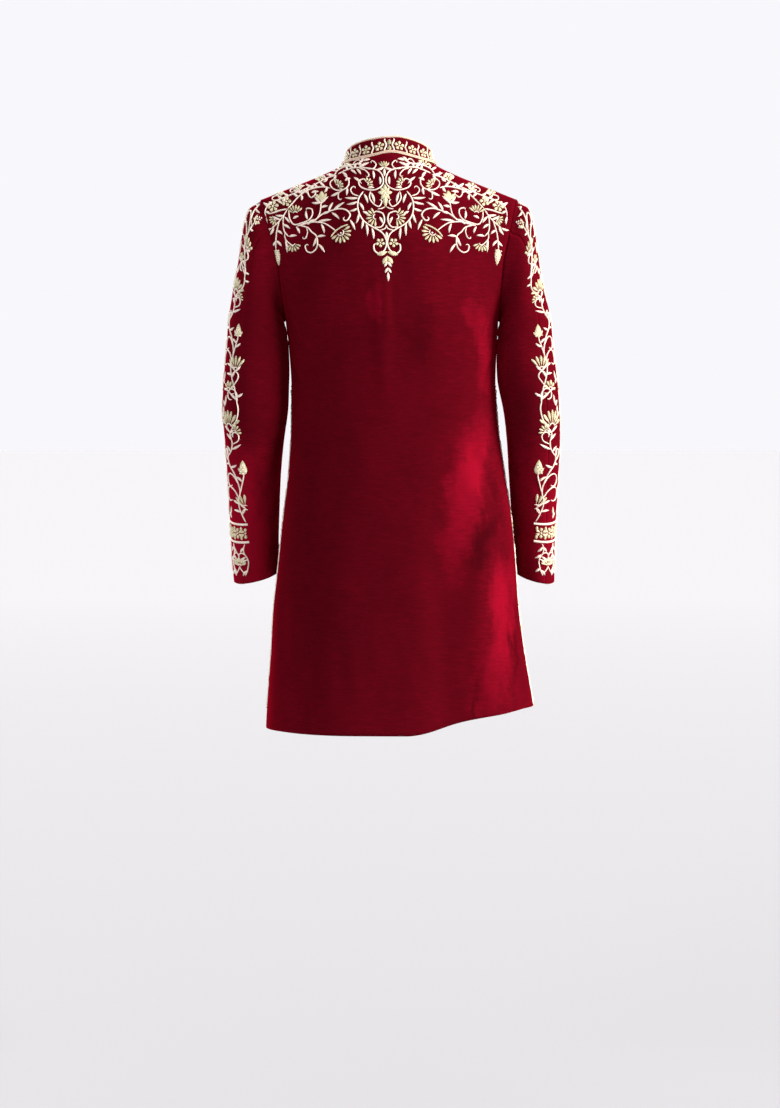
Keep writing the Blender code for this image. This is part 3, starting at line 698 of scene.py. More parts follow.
# Painted sheen and painted shade: patches where the velvet's colour is made lighter, or (under 0) darker, as
# if lit or shaded; middle and half sizes in metres
PaintedLightPatch = namedtuple("PaintedLightPatch", "x y z wide deep tall tilt_deg strength")
PAINTED_LIGHT_PATCHES = rows(PaintedLightPatch, (
    (-0.127, 0.10, -0.545, 0.048, 0.12, 0.205, -12, 0.42),
    (-0.140, 0.10, -0.500, 0.028, 0.12, 0.085, -12, 0.20),
    (-0.192, 0.09, -0.735, 0.038, 0.12, 0.115, -8, 0.52),
    (-0.172, 0.10, -0.850, 0.048, 0.12, 0.090, -14, 0.26),
    (-0.172, 0.07, -0.350, 0.030, 0.12, 0.090, 6, 0.26),
    (-0.148, 0.10, -0.272, 0.020, 0.12, 0.080, 16, 0.24),
    (-0.160, 0.08, -0.625, 0.025, 0.12, 0.115, -15, -0.42),
    (-0.209, 0.06, -0.820, 0.012, 0.12, 0.055, 4, -0.32),
    (-0.145, 0.10, -0.898, 0.008, 0.12, 0.040, 6, -0.30),
    (0.024, 0.12, -0.235, 0.012, 0.12, 0.080, 0, 0.22),
    (0.060, 0.12, -0.600, 0.200, 0.20, 0.450, 0, -0.16),
    (0.245, -0.03, -0.570, 0.080, 0.15, 0.220, 0, 0.75),
    (0.222, 0.02, -0.680, 0.030, 0.12, 0.075, 0, 0.50),
    (-0.053, 0.12, -0.270, 0.032, 0.12, 0.090, 0, -0.20),
    (-0.245, -0.03, -0.570, 0.080, 0.15, 0.220, 0, 0.40),
    (0.130, -0.10, -0.560, 0.045, 0.10, 0.170, -8, 0.30),
    (-0.120, -0.10, -0.720, 0.050, 0.10, 0.180, 10, 0.30),
    (0.060, -0.12, -0.340, 0.035, 0.10, 0.110, 12, 0.20),
))
# The velvet's colours: darkest, partly its own tone and partly painted shade; lightest, painted sheen; and
# its own red in the middle
VELVET_TONE_SHADE_AND_SHEEN_STOPS = ((0.0, "#3A040B"), (1.0, "#7C081C"), (0.42, "#500510"))
PAINTED_PATCH_EDGE = 0.8              # share of a patch over which its edge fades
# Patterns in cells for each metre, across, deep and up. detail, roughness and distortion are the noise's own.
Grain = namedtuple("Grain", "cells detail roughness distortion")
BRUSHED = Grain((11, 11, 6), 4.0, 0.6, 0.5)         # hand-wide clouds where the pile was brushed
RAGGED = Grain((24, 24, 14), 3.0, 0.6, 0.0)         # 4 cm waves that shake the patches' edges
PILE = Grain((1500, 1500, 1500), 2.0, 0.7, 0.0)     # tufts of 0.7 mm, coarser than the real 0.2 mm to show
SHAKE = (0.07, 0.0, 0.09)   # metres
BODY_CRINKLE, SLEEVE_CRINKLE = (55, 55, 330), (75, 75, 420)   # level crinkles, 3 and 2.4 mm apart


def velvet_material(name, crinkle):
    """Silk pile velvet, woven and sheared: it takes in light, so folds go nearly black, has a red
    bloom at its edges, and shows fine level crinkles; patches of painted sheen and painted shade lighten and
    darken its colour."""
    material, tree, shader, coordinates = new_material(
        name, Roughness=0.75, Specular_IOR_Level=0.0, Sheen_Weight=0.40, Sheen_Roughness=0.40,
        Sheen_Tint=rgb("#FF0030"))
    noises = []
    for grain in (BRUSHED, Grain(crinkle, 3.0, 0.6, 0.4), RAGGED, PILE):
        cells = add_node(tree, "ShaderNodeMapping", [("Vector", coordinates, "Object")], in_Scale=grain.cells)
        noises.append(add_node(tree, "ShaderNodeTexNoise", [("Vector", cells, "Vector")], in_Scale=1.0,
                               in_Detail=grain.detail, in_Roughness=grain.roughness,
                               in_Distortion=grain.distortion))
    brushed, crinkles, ragged, pile = noises
    tones_and_painted_light = [add_node(tree, "ShaderNodeMapRange", [("Value", noise, "Fac")], in_From_Min=0.3, in_From_Max=0.7,
                      in_To_Min=low, in_To_Max=high)
             for noise, low, high in ((brushed, 0.30, 0.52), (crinkles, -0.10, 0.10))]
    centred = add_node(tree, "ShaderNodeVectorMath", [(0, ragged, "Color")], operation="SUBTRACT",
                       in_1=(0.5, 0.5, 0.5))
    shaken = add_node(tree, "ShaderNodeVectorMath", [(0, centred, 0), (2, coordinates, "Object")],
                      operation="MULTIPLY_ADD", in_1=SHAKE)
    # Painted sheen and painted shade: each patch lightens, or under 0 darkens, the velvet's colour in a soft
    # ball
    for patch in PAINTED_LIGHT_PATCHES:
        local = add_node(tree, "ShaderNodeMapping", [("Vector", shaken, 0)], vector_type="TEXTURE",
                         in_Location=patch[:3], in_Rotation=(0, math.radians(patch.tilt_deg), 0),
                         in_Scale=patch[3:6])
        ball = add_node(tree, "ShaderNodeTexGradient", [("Vector", local, 0)], gradient_type="SPHERICAL")
        soft = add_node(tree, "ShaderNodeMapRange", [("Value", ball, "Fac")], interpolation_type="SMOOTHSTEP",
                        in_From_Max=PAINTED_PATCH_EDGE, in_To_Max=patch.strength)
        tones_and_painted_light.append(soft)
    total = tones_and_painted_light[0]
    for tone in tones_and_painted_light[1:]:
        total = add_node(tree, "ShaderNodeMath", [(0, total, 0), (1, tone, 0)], operation="ADD")
    add_colour(tree, shader, total, 0, VELVET_TONE_SHADE_AND_SHEEN_STOPS)
    bumps(tree, shader, ((brushed, 0.15, 0.004), (crinkles, 0.45, 0.0009), (pile, 0.5, 0.0003)))
    return material


THREAD_SLANT_DEG = 32
THREAD_WEAR = 160            # dull and bright spots, in cells for each metre: 6 mm
WAVE_BANDS = 3.1416          # about how many bands a wave of scale 1 has in each metre
DENTS = 620                  # in cells for each metre: 1.6 mm


def thread_material(name, colour, shade, metallic, roughness, pitch):
    """Laid thread. UV runs across in u and along the work in v, in metres, so its lay has its real pitch. Its
    colour goes to the shade colour in the lay's grooves: painted shade.
    """
    material, tree, shader, coordinates = new_material(name, Metallic=metallic, Roughness=roughness,
                                                       Specular_IOR_Level=0.5)
    lay = add_node(tree, "ShaderNodeMapping", [("Vector", coordinates, "UV")],
                   in_Rotation=(0, 0, math.radians(THREAD_SLANT_DEG)))
    stripes = add_node(tree, "ShaderNodeTexWave", [("Vector", lay, "Vector")], wave_type="BANDS",
                       bands_direction="Y", in_Scale=1 / pitch / WAVE_BANDS, in_Distortion=0.3, in_Detail=1.0)
    wear = add_node(tree, "ShaderNodeTexNoise", [("Vector", coordinates, "Object")], in_Scale=THREAD_WEAR,
                    in_Detail=3.0, in_Roughness=0.6)
    # Painted shade in the lay's grooves, times the wear's dull and bright spots
    groove_shade_and_wear = add_node(tree, "ShaderNodeMath", [(0, stripes, "Fac"), (1, wear, "Fac")], operation="MULTIPLY")
    add_colour(tree, shader, groove_shade_and_wear, "Value", ((0.02, shade), (0.34, colour)))
    bumps(tree, shader, ((stripes, 0.7, 0.0004), (wear, 0.2, 0.0003)))
    return material


def brass_material():
    """Stamped brass: a warm mirror whose lightly hammered face, in dents of 1.6 mm, breaks its glint up."""
    material, tree, shader, coordinates = new_material("stamped_brass", Metallic=1.0, Roughness=0.34,
                                                       Base_Color=rgb("#CFA862"))
    dents = add_node(tree, "ShaderNodeTexNoise", [("Vector", coordinates, "Object")], in_Scale=DENTS,
                     in_Detail=1.0, in_Roughness=0.5)
    bumps(tree, shader, ((dents, 0.5, 0.0004),))
    return material


# ---------------------------------------------------------------- cloth

# Columns and rows of cells in each wall
FINE_BACK, FINE_FRONT, FINE_BODY_ROWS = 112, 64, 162
FINE_TOP_SLEEVE, FINE_UNDER_SLEEVE, FINE_SLEEVE_ROWS = 44, 40, 150
FINE_COLLAR, FINE_COLLAR_ROWS = 160, 8
SLEEVE_LENGTH = 0.655
HEAD_BUNCH = 1.35            # how much closer the rows stand at the sleeve's head
TUCK_LENGTH, TUCK_IN, TUCK_DOWN = 0.010, 0.0012, 0.0016   # how the sleeve dips into the armhole seam
HEAD_SAG, SAG_IN = 0.0075, 0.35   # how far the cloth of its head settles beyond the seam, and in for that
SAG_START, SAG_FULL, SAG_FADE = 0.014, 0.02, 0.10   # down the sleeve: all there, fading from, and over
# Each piece laid flat, in metres and square metres
Cloth = namedtuple("Cloth", "width length area")


def add_piece(name, mesh, material):
    """A finished piece on the coat's one body."""
    mesh.shade_smooth()
    mesh.materials.append(material)
    piece = bpy.data.objects.new(name, mesh)
    bpy.context.scene.collection.objects.link(piece)
    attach(piece, "root")
    return piece


def cloth_shell(node, surface, relief, columns, rows_down, material, thickness=WALL):
    """A finer wall on the form of one solid, which it stands for, moved in and out by its folds."""
    bm = bmesh.new()
    bmesh.ops.create_grid(bm, x_segments=columns, y_segments=rows_down, size=0.5)
    places = [(vert.co.x + 0.5, vert.co.y + 0.5) for vert in bm.verts]
    for vert, place in zip(bm.verts, places):
        vert.co = surface(*place)
    bm.normal_update()
    moved = [vert.co + vert.normal * relief(vert.co, *place) for vert, place in zip(bm.verts, places)]
    for vert, place in zip(bm.verts, moved):
        vert.co = place
    mesh = bpy.data.meshes.new(f"{node}_cloth")
    bm.to_mesh(mesh)
    bm.free()
    piece = add_piece(f"{node}_cloth", mesh, material)
    wall = piece.modifiers.new("wall", "SOLIDIFY")
    wall.thickness, wall.offset = thickness, -1.0
    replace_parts(piece, node)
    return piece


def sleeve_shell(form, start_deg, end_deg):
    """One sleeve panel seen from outside, its rows closer together at the sleeve's head, and its relief."""
    start, end = math.radians(start_deg), math.radians(end_deg)

    def face(u, v):
        down = (1 - v) ** HEAD_BUNCH
        share = 1 - u if form.side < 0 else u
        metres = down * SLEEVE_LENGTH
        outer = max(0.0, math.cos(blend(start, end, share)))
        settled = smooth(metres / SAG_START) * (1 - smooth((metres - SAG_FULL) / SAG_FADE))
        sag = HEAD_SAG * outer * settled
        tuck = TUCK_IN * (1 - smooth(metres / TUCK_LENGTH))
        place = form.face(blend(start, end, share), down)
        return place - Vector((form.side * (tuck + SAG_IN * sag), 0, sag))

    def relief(place, u, v):
        """Its folds, the turned-up cuff showing through, and the wall, since the form is the inner face."""
        share = 1 - u if form.side < 0 else u
        down = (1 - v) ** HEAD_BUNCH * SLEEVE_LENGTH
        folds = creased(SLEEVE_CREASES, blend(start_deg, end_deg, share), down, SLEEVE_ARC)
        ridge = TURN_RIDGE * math.exp(-(((SLEEVE_LENGTH - down - CUFF_TURN) / TURN_WIDTH) ** 2))
        tuck = TUCK_DOWN * (1 - smooth(down / TUCK_LENGTH))
        return folds * smooth(down / FOLD_START) + ridge + WALL - tuck

    return face, relief


def make_shells():
    """Every piece of cloth, on the form of its solid. Returns the pieces and the two sleeves' forms."""
    body_velvet = velvet_material("pile_velvet_body", BODY_CRINKLE)
    sleeve_velvet = velvet_material("pile_velvet_sleeve", SLEEVE_CRINKLE)
    pieces = {}
    for node, face, columns in (("back", back_face, FINE_BACK), ("front_left", left_front_face, FINE_FRONT),
                                ("front_right", right_front_face, FINE_FRONT)):
        pieces[node] = cloth_shell(node, face, body_relief, columns, FINE_BODY_ROWS, body_velvet)
    sleeve_forms = {}
    for word, side in (("left", 1), ("right", -1)):
        form = sleeve_forms[word] = SleeveForm(side)
        for part, start, end, columns in (("top", FORE_SEAM_DEG, HIND_SEAM_DEG, FINE_TOP_SLEEVE),
                                          ("under", HIND_SEAM_DEG, FORE_SEAM_DEG + 360, FINE_UNDER_SLEEVE)):
            node = f"{word}_{part}_sleeve"
            pieces[node] = cloth_shell(node, *sleeve_shell(form, start, end), columns, FINE_SLEEVE_ROWS,
                                       sleeve_velvet)
    pieces["collar"] = cloth_shell("collar", collar_face, lambda place, u, v: 0.0, FINE_COLLAR,
                                   FINE_COLLAR_ROWS, body_velvet, COLLAR_WALL)
    return pieces, sleeve_forms


def tree_of(*pieces):
    """A nearest-point search over the outer faces of some cloth."""
    verts, faces = [], []
    for piece in pieces:
        start = len(verts)
        verts += [v.co.copy() for v in piece.data.vertices]
        faces += [tuple(start + i for i in p.vertices) for p in piece.data.polygons]
    return BVHTree.FromPolygons(verts, faces)


# ---------------------------------------------------------------- pattern coordinates

GROUND_STEP = 0.004          # between the places of a ground, across and down
SLACK = 0.0001               # keeps the last place of an even row
YOKE_TOP, YOKE_FOOT, YOKE_HALF = -0.06, 0.30, 0.26   # how far the yoke's ground reaches down and across
OVER_SHOULDER = 0.6          # share of a sloping length that counts as drop
SIDE_TOP, SIDE_FOOT, SIDE_WIDTH, SIDE_TURN_DEG = 0.262, 0.94, 0.14, 2.5
STRIP_LOW, STRIP_HIGH, STRIP_STEP = -0.11, 0.108, 0.003
COLLAR_REACH, COLLAR_RISE, COLLAR_STEP = 0.125, 0.030, 0.002


def travel(points):
    """The distance along a line of points, at each of them."""
    return np.concatenate([[0], np.cumsum(np.linalg.norm(np.diff(points, axis=0), axis=1))])


class Ground:
    """Cloth that cord work is laid on, and where on it each flat pattern place (x, s) lies.

    columns: curves down the cloth, each with its points at the s_values; x is 0 on the one
    numbered centre. level: x is measured straight across, and not along the cloth.
    """

    def __init__(self, columns, s_values, x_values, tree, centre, level=False):
        table = np.array(columns)
        self.tree = tree
        self.grid = np.zeros((len(x_values), len(s_values), 3))
        for j in range(len(s_values)):
            row = table[:, j]
            across = row[:, 0] if level else travel(row) - travel(row)[centre]
            for k in range(3):
                self.grid[:, j, k] = np.interp(x_values, across, row[:, k])
        self.low = np.array((x_values[0], s_values[0]))
        self.step = np.array((x_values[1] - x_values[0], s_values[1] - s_values[0]))

    def lay(self, flat):
        """Flat pattern places in metres to points and outward normals on the cloth."""
        cell = (np.asarray(flat, float) - self.low) / self.step
        cell = np.clip(cell, 0, np.array(self.grid.shape[:2]) - 1.001)
        i, j = cell.astype(int).T
        f, g = (cell - cell.astype(int)).T[:, :, None]
        grid = self.grid
        near = grid[i, j] * (1 - f) + grid[i + 1, j] * f
        far = grid[i, j + 1] * (1 - f) + grid[i + 1, j + 1] * f
        found = [self.tree.find_nearest(place) for place in near * (1 - g) + far * g]
        return [hit[0] for hit in found], [hit[1] for hit in found]


def yoke_ground(tree, front):
    """Back or front above the armpits. x is the real x; s is the drop below the origin, let out a
    little where the cloth turns over the shoulder, and goes on a short way down the other side."""
    s_values = np.arange(YOKE_TOP, YOKE_FOOT + SLACK, GROUND_STEP)
    columns = []
    for degrees in range(-88, 89, 2):
        angle = math.radians(degrees)
        ring_angle = math.pi - angle if front else angle
        points = [on_roll(angle, math.radians(40 + 50 * i / 12), not front) for i in range(12)]
        points += [on_roll(angle, math.pi / 2 * (1 - i / 40), front) for i in range(41)]
        points += [on_ring(ring_angle, ARMPIT_Z - 0.01 * i) for i in range(1, 20)]
        curve = np.array([p[:] for p in points])
        steps = np.diff(curve, axis=0)
        drops = np.maximum(np.abs(steps[:, 2]), OVER_SHOULDER * np.linalg.norm(steps, axis=1))
        s = -curve[-1, 2] - np.append(np.cumsum(drops[::-1])[::-1], 0.0)
        columns.append(np.stack([np.interp(s_values, s, curve[:, k]) for k in range(3)], axis=1))
    x_values = np.arange(-YOKE_HALF, YOKE_HALF + SLACK, GROUND_STEP)
    return Ground(columns, s_values, x_values, tree, len(columns) // 2, level=True)


def side_ground(side, tree):
    """The front below the armpit. x runs forward from the side seam, s is the depth below the origin."""
    s_values = np.arange(SIDE_TOP, SIDE_FOOT, GROUND_STEP)
    seam_deg = [blend(90.0, SIDE_SEAM_DEG, smooth((s + ARMPIT_Z) / SEAM_EASE)) for s in s_values]
    columns = [[on_ring(side * math.radians(seam + SIDE_TURN_DEG * i), -s)[:]
                for s, seam in zip(s_values, seam_deg)] for i in range(36)]
    return Ground(columns, s_values, np.arange(0, SIDE_WIDTH + SLACK, GROUND_STEP), tree, 0)


def sleeve_ground(form, tree):
    """The top sleeve and a little beyond. x is 0 on its outer line and positive to the back; s is the
    distance from the shoulder. Also returns how far the hind seam is from the outer line at any s."""
    downs = [i / 90 for i in range(91)]
    lengths = travel([form.face(0.0, down)[:] for down in downs])
    s_values = np.arange(0.0, lengths[-1], GROUND_STEP)
    shares = np.interp(s_values, lengths, downs)
    turn = (HIND_SEAM_DEG - FORE_SEAM_DEG) / SLEEVE_COLUMNS
    outer_line = int(round(-FORE_SEAM_DEG / turn))
    angles = [0.0 if i == outer_line else math.radians(FORE_SEAM_DEG + turn * i)
              for i in range(SLEEVE_COLUMNS + COLUMNS_BEYOND)]
    columns = np.array([[form.face(angle, share)[:] for share in shares] for angle in angles])
    seam = np.linalg.norm(np.diff(columns[outer_line:SLEEVE_COLUMNS + 1], axis=0), axis=2).sum(axis=0)
    x_values = np.arange(STRIP_LOW, STRIP_HIGH + SLACK, STRIP_STEP)
    ground = Ground(columns, s_values, x_values, tree, outer_line)
    return ground, lambda s: float(np.interp(s, s_values, seam))


def collar_ground(tree):
    """The collar's outer face. x runs round it from the middle of the back, and s is the height up it."""
    heights = np.arange(0, COLLAR_RISE + SLACK, COLLAR_STEP)
    columns = [[on_band(turn, height)[:] for height in heights] for turn in np.linspace(-0.97, 0.97, 99)]
    x_values = np.arange(-COLLAR_REACH, COLLAR_REACH + SLACK, COLLAR_STEP)
    return Ground(columns, heights, x_values, tree, len(columns) // 2)


# ---------------------------------------------------------------- laying cord work on the cloth

CORD_STEP = 0.0026           # between the points along a laid cord
CORD_PROFILE = ((-1.0, -0.25), (-0.78, 0.45), (-0.3, 0.92), (0.3, 0.92), (0.78, 0.45), (1.0, -0.25))
CORD_TIP = 0.35              # width of a cord's very end, as a share
PAD_ACROSS = (-1.0, -0.72, 0.0, 0.72, 1.0)
PAD_SINK = 0.0004            # how far a pad's edges lie under the cloth's face
PAD_TIP = 0.00012            # half width of its two ends
DOME_RINGS, DOME_SIDES = ((1.0, -0.15), (0.86, 0.5), (0.5, 0.9), (0.08, 1.0)), 10
EDGE = 0.002                 # leaves and knots keep this far inside the limits


class Work:
    """Gathers the laid work of one place and colour into one mesh with UVs in metres."""

    def __init__(self):
        self.verts, self.faces, self.uvs = [], [], []

    def add_grid(self, points, uvs, outward, closed=False):
        """A grid of points, rows by columns, as quads that face outward."""
        down, columns = len(points), len(points[0])
        i, j = down // 2 - 1 if down > 2 else 0, columns // 2
        side, step = points[i][j] - points[i][j - 1], points[i + 1][j] - points[i][j]
        if side.cross(step).dot(outward) < 0:
            points, uvs = [row[::-1] for row in points], [row[::-1] for row in uvs]
        start = len(self.verts)
        for row, uv_row in zip(points, uvs):
            self.verts += [tuple(p) for p in row]
            self.uvs += list(uv_row)
        around = columns if closed else columns - 1
        for i in range(down - 1):
            for j in range(around):
                a, b = start + i * columns + j, start + i * columns + (j + 1) % columns
                self.faces.append((a, b, b + columns, a + columns))

    def make(self, name, material):
        mesh = bpy.data.meshes.new(name)
        mesh.from_pydata(self.verts, [], self.faces)
        layer = mesh.uv_layers.new(name="lay")
        loop_verts = np.zeros(len(mesh.loops), dtype=np.int32)
        mesh.loops.foreach_get("vertex_index", loop_verts)
        layer.data.foreach_set("uv", np.array(self.uvs, dtype=np.float32)[loop_verts].ravel())
        return add_piece(name, mesh, material)


class Pen:
    """Draws on one piece of cloth, mirrored or not. Millimetres; x outward, y down.

    limits: the lowest and the highest x, in metres, each a function of s.
    """

    def __init__(self, ground, cords, fills, limits=None, flip=1, scale=1.0, lean=0.0, at=(0, 0)):
        self.ground, self.cords, self.fills, self.limits = ground, cords, fills, limits
        self.flip, self.scale, self.lean, self.at = flip, scale, lean, at

    def flat(self, places):
        """Pattern places in metres, mirrored, scaled, leaned and moved."""
        places = np.atleast_2d(np.asarray(places, float)) * 0.001 * self.scale
        moved = places * (self.flip, 1) + np.asarray(self.at)
        moved[:, 0] -= self.lean * places[:, 1]
        return moved

    def inside(self, flat, margin=0.0):
        """Which flat places lie within the limits."""
        low, high = self.limits or (lambda s: -1.0, lambda s: 1.0)
        return [low(s) + margin <= x <= high(s) - margin for x, s in flat]

    def longest_run(self, flat):
        """The longest stretch of a path that lies within the limits."""
        best, start = (0, 0), None
        for i, good in enumerate(self.inside(flat) + [False]):
            if good and start is None:
                start = i
            if not good and start is not None:
                best = max(best, (start, i), key=lambda run: run[1] - run[0])
                start = None
        return flat[best[0]:best[1]]

    def cord(self, places, width=2.8, height=1.7, taper=5.0, thread=None):
        """A half-round cord along a path, thinner towards both ends over the taper."""
        flat = self.longest_run(self.flat(places))
        if len(flat) < 3:
            return
        whole = travel(flat)
        travelled = np.linspace(0, whole[-1], max(2, int(round(whole[-1] / CORD_STEP)) + 1))
        path = np.stack([np.interp(travelled, whole, flat[:, k]) for k in (0, 1)], axis=1)
        points, normals = self.ground.lay(path)
        grid, uvs = [], []
        for i, (place, normal) in enumerate(zip(points, normals)):
            ahead, behind = points[min(i + 1, len(points) - 1)], points[max(i - 1, 0)]
            across = (ahead - behind).normalized().cross(normal)
            left = min(travelled[i], travelled[-1] - travelled[i]) * 1000
            end = min(1.0, CORD_TIP + left / taper) if taper else 1.0
            half, lift = 0.001 * width / 2, 0.001 * height * end
            grid.append([place + across * (a * half * end) + normal * (b * lift) for a, b in CORD_PROFILE])
            uvs.append([(a * half, travelled[i]) for a, _ in CORD_PROFILE])
        (thread or self.cords).add_grid(grid, uvs, normals[len(normals) // 2])

    def raised(self, thread, flat, lifts, uvs, columns, closed=False):
        """A grid of flat places, laid on the cloth and lifted off it."""
        points, normals = self.ground.lay(flat)
        lifted = [p + n * h for p, n, h in zip(points, normals, lifts)]
        lifted, uvs = ([row[i:i + columns] for i in range(0, len(row), columns)] for row in (lifted, uvs))
        (thread or self.fills).add_grid(lifted, uvs, normals[len(normals) // 2], closed)

    def pad(self, root, tip, width, height=2.0, belly=0.5, bend=0.0, crease=0.0, blunt=0.0, steps=6,
            thread=None):
        """A raised leaf or petal of satin thread. belly: where it is widest; bend: sideways bow."""
        root, tip = self.flat([root, tip])
        if not all(self.inside((root, tip), EDGE)):
            return
        half_width, bow = 0.001 * width * self.scale / 2, 0.001 * bend * self.flip * self.scale
        axis = tip - root
        length = float(np.hypot(*axis))
        side = np.array((-axis[1], axis[0])) / length
        flat, lifts, uvs = [], [], []
        for i in range(steps + 1):
            share = i / steps
            full = min(share ** (math.log(0.5) / math.log(belly)), 1.0)
            half = half_width * max(blunt * share, math.sin(math.pi * full) ** 0.8) + PAD_TIP
            middle = root + axis * share + side * bow * math.sin(math.pi * share)
            lift = 0.001 * height * (half / half_width) ** 0.5
            for across in PAD_ACROSS:
                flat.append(middle + side * half * across)
                dome = (1 - across * across) ** 0.6 - crease * (1 - abs(across)) ** 4
                lifts.append(lift * dome - (PAD_SINK if abs(across) == 1 else 0))
                uvs.append((half * across + share * length * 0.5 * np.sign(across), share * length))
        self.raised(thread or self.cords, flat, lifts, uvs, len(PAD_ACROSS))

    def dome(self, centre, radius, height=1.8, thread=None):
        """A round raised knot."""
        centre = self.flat(centre)
        if not all(self.inside(centre, EDGE)):
            return
        reach = 0.001 * radius * self.scale
        turns = [math.tau * k / DOME_SIDES for k in range(DOME_SIDES)]
        uvs = [(reach * share * math.cos(turn), reach * share * math.sin(turn))
               for share, _ in DOME_RINGS for turn in turns]
        lifts = [0.001 * height * lift for _, lift in DOME_RINGS for _ in turns]
        self.raised(thread, centre + np.array(uvs), lifts, uvs, DOME_SIDES, closed=True)


# ---------------------------------------------------------------- stems, leaves and flowers

# Millimetres: x outward, y down. curl and turn: length and degrees of the curl a stem ends in.
Stem = namedtuple("Stem", "width curl turn places")
Fan = namedtuple("Fan", "x y heading radius petals spread")
Leaf = namedtuple("Leaf", "x y heading length")


def heading(degrees):
    """The unit step of a heading: 0 is outward, 90 down."""
    turn = math.radians(degrees)
    return np.array((math.cos(turn), math.sin(turn)))


def walk(x, y, degrees, *legs):
    """A path from (x, y). legs: (length, turn, tighten); tighten over 0 curls up towards the leg's end."""
    places = [np.array((float(x), float(y)))]
    for length, turn, tighten in legs:
        steps = max(4, int(length / 1.5))
        for i in range(steps):
            degrees += turn / steps * (1 + tighten * (2 * (i + 0.5) / steps - 1))
            places.append(places[-1] + heading(degrees) * length / steps)
    return np.array(places)


def stem(pen, row):
    """A stem through a few places, ending in a curl if it has one."""
    path = smoother([np.array(place, float) for place in row.places], 6)
    if row.curl:
        across, down = path[-1] - path[-2]
        curl = walk(*path[-1], math.degrees(math.atan2(down, across)), (row.curl, row.turn, 0.4))
        path += list(curl)[1:]
    pen.cord(path, row.width)


def leaf(pen, x, y, degrees, length, width=4.0, bend=0.9, belly=0.46):
    """One free leaf."""
    root = np.array((float(x), float(y)))
    pen.pad(root, root + heading(degrees) * length * 1.15, width, 1.9, belly, bend=bend)


def petals_round(pen, base, headings, radius, heart, width, height, belly):
    """Separate petals round a heart, with cloth showing between them."""
    for degrees in headings:
        out = heading(degrees) * radius
        pen.pad(base + out * heart, base + out, width, height, belly, blunt=0.3, crease=0.2, thread=pen.fills)


def flower(pen, centre, radius, petals=6, turned=0.0, heart=0.22):
    """Petals round a knot."""
    centre = np.asarray(centre, float)
    headings = [turned + 360 * k / petals for k in range(petals)]
    petals_round(pen, centre, headings, radius, heart, radius * 3.4 / petals, 2.0, 0.64)
    pen.dome(centre, radius * heart * 0.8, 2.0, thread=pen.cords)


def fan(pen, base, degrees, radius, petals=7, spread=170, heart=0.26):
    """A half flower opening one way, with a cord across its foot."""
    base = np.asarray(base, float)
    apart = radius * 0.72 * math.radians(spread) / (petals - 1)
    headings = [degrees + spread * (k / (petals - 1) - 0.5) for k in range(petals)]
    petals_round(pen, base, headings, radius, heart, apart * 0.70, 2.1, 0.70)
    foot = [base + heading(degrees + (spread + 30) * (t / 8 - 0.5)) * radius * heart for t in range(9)]
    pen.cord(foot, 2.0, 1.7, 1.5)


def crown(pen, base, degrees, radius):
    """The widest fan: ringed petals, closed by a cord from tip to tip."""
    fan(pen, base, degrees, radius, 8, 176, 0.3)
    base = np.asarray(base, float)
    ends = [base + heading(degrees + side * 100) * radius for side in (-1, 1)]
    top = base - heading(degrees) * radius * 0.60
    arc = [ends[0] * (1 - t) ** 2 + top * 2 * t * (1 - t) + ends[1] * t * t for t in np.linspace(0, 1, 12)]
    pen.cord(arc, 2.6, 1.9, 3, thread=pen.fills)
    pen.dome(base + heading(degrees) * radius * 0.08, 1.6, 2.2, thread=pen.cords)


def pinecone(pen, base, degrees, length, width):
    """A long seed head, thick at its foot and studded with knots."""
    base, out = np.asarray(base, float), heading(degrees)
    side = np.array((-out[1], out[0]))
    pen.pad(base, base + out * length, width, 1.8, 0.34, thread=pen.fills, steps=8)
    knots = max(2, int(length / 4.6))
    for i in range(knots):
        share = 0.12 + 0.7 * i / knots
        spread = width * 0.26 * math.sin(math.pi * min(1.0, 0.25 + share))
        for across in ((-1, 1) if i % 2 else (-1.6, 0, 1.6)):
            if abs(across) * spread < width * 0.42 and (spread > 1.2 or across == 0 or abs(across) == 1):
                pen.dome(base + out * length * share + side * across * spread, 1.4, 3.0, thread=pen.cords)


def spread_out(pen, stems, fans, leaves):
    """All the work of one pattern's tables."""
    for row in stems:
        stem(pen, row)
    for row in fans:
        fan(pen, row[:2], *row[2:])
    for row in leaves:
        leaf(pen, *row)


# ---------------------------------------------------------------- the yoke's work

CENTRE_STEMS = rows(Stem, (
    (2.4, 10, -130, ((77, 13), (51, 4), (17, 8), (5, 16), (2, 30), (7, 39), (19, 44), (32, 42), (41, 37),
                     (43, 29), (38, 25))),
    (2.1, 8, 170, ((28, 7), (18, 7), (13, 0), (17, -6))),
    (2.1, 9, -170, ((41, 6), (32, 9), (26, 16))),
    (2.5, 7, -120, ((36, 46), (44, 58), (46, 73), (42, 88), (32, 100), (9, 114), (2, 125), (1, 135),
                    (5, 145), (14, 150), (21, 145), (22, 137))),
    (2.1, 8, -150, ((43, 54), (53, 50), (57, 43), (54, 38))),
    (2.2, 7, 120, ((24, 46), (26, 57), (20, 67), (11, 72), (6, 65))),
    (2.4, 8, 90, ((21, 106), (9, 106), (3, 96), (5, 84), (14, 80))),
    (2.1, 0, 0, ((1, 72), (6, 75), (13, 76))),
    (2.1, 0, 0, ((-1, 103), (3, 109), (13, 112))),
))
CENTRE_FANS = rows(Fan, (
    (30, 33, 200, 11, 5, 130), (17, 89, 10, 16, 7, 150),
))
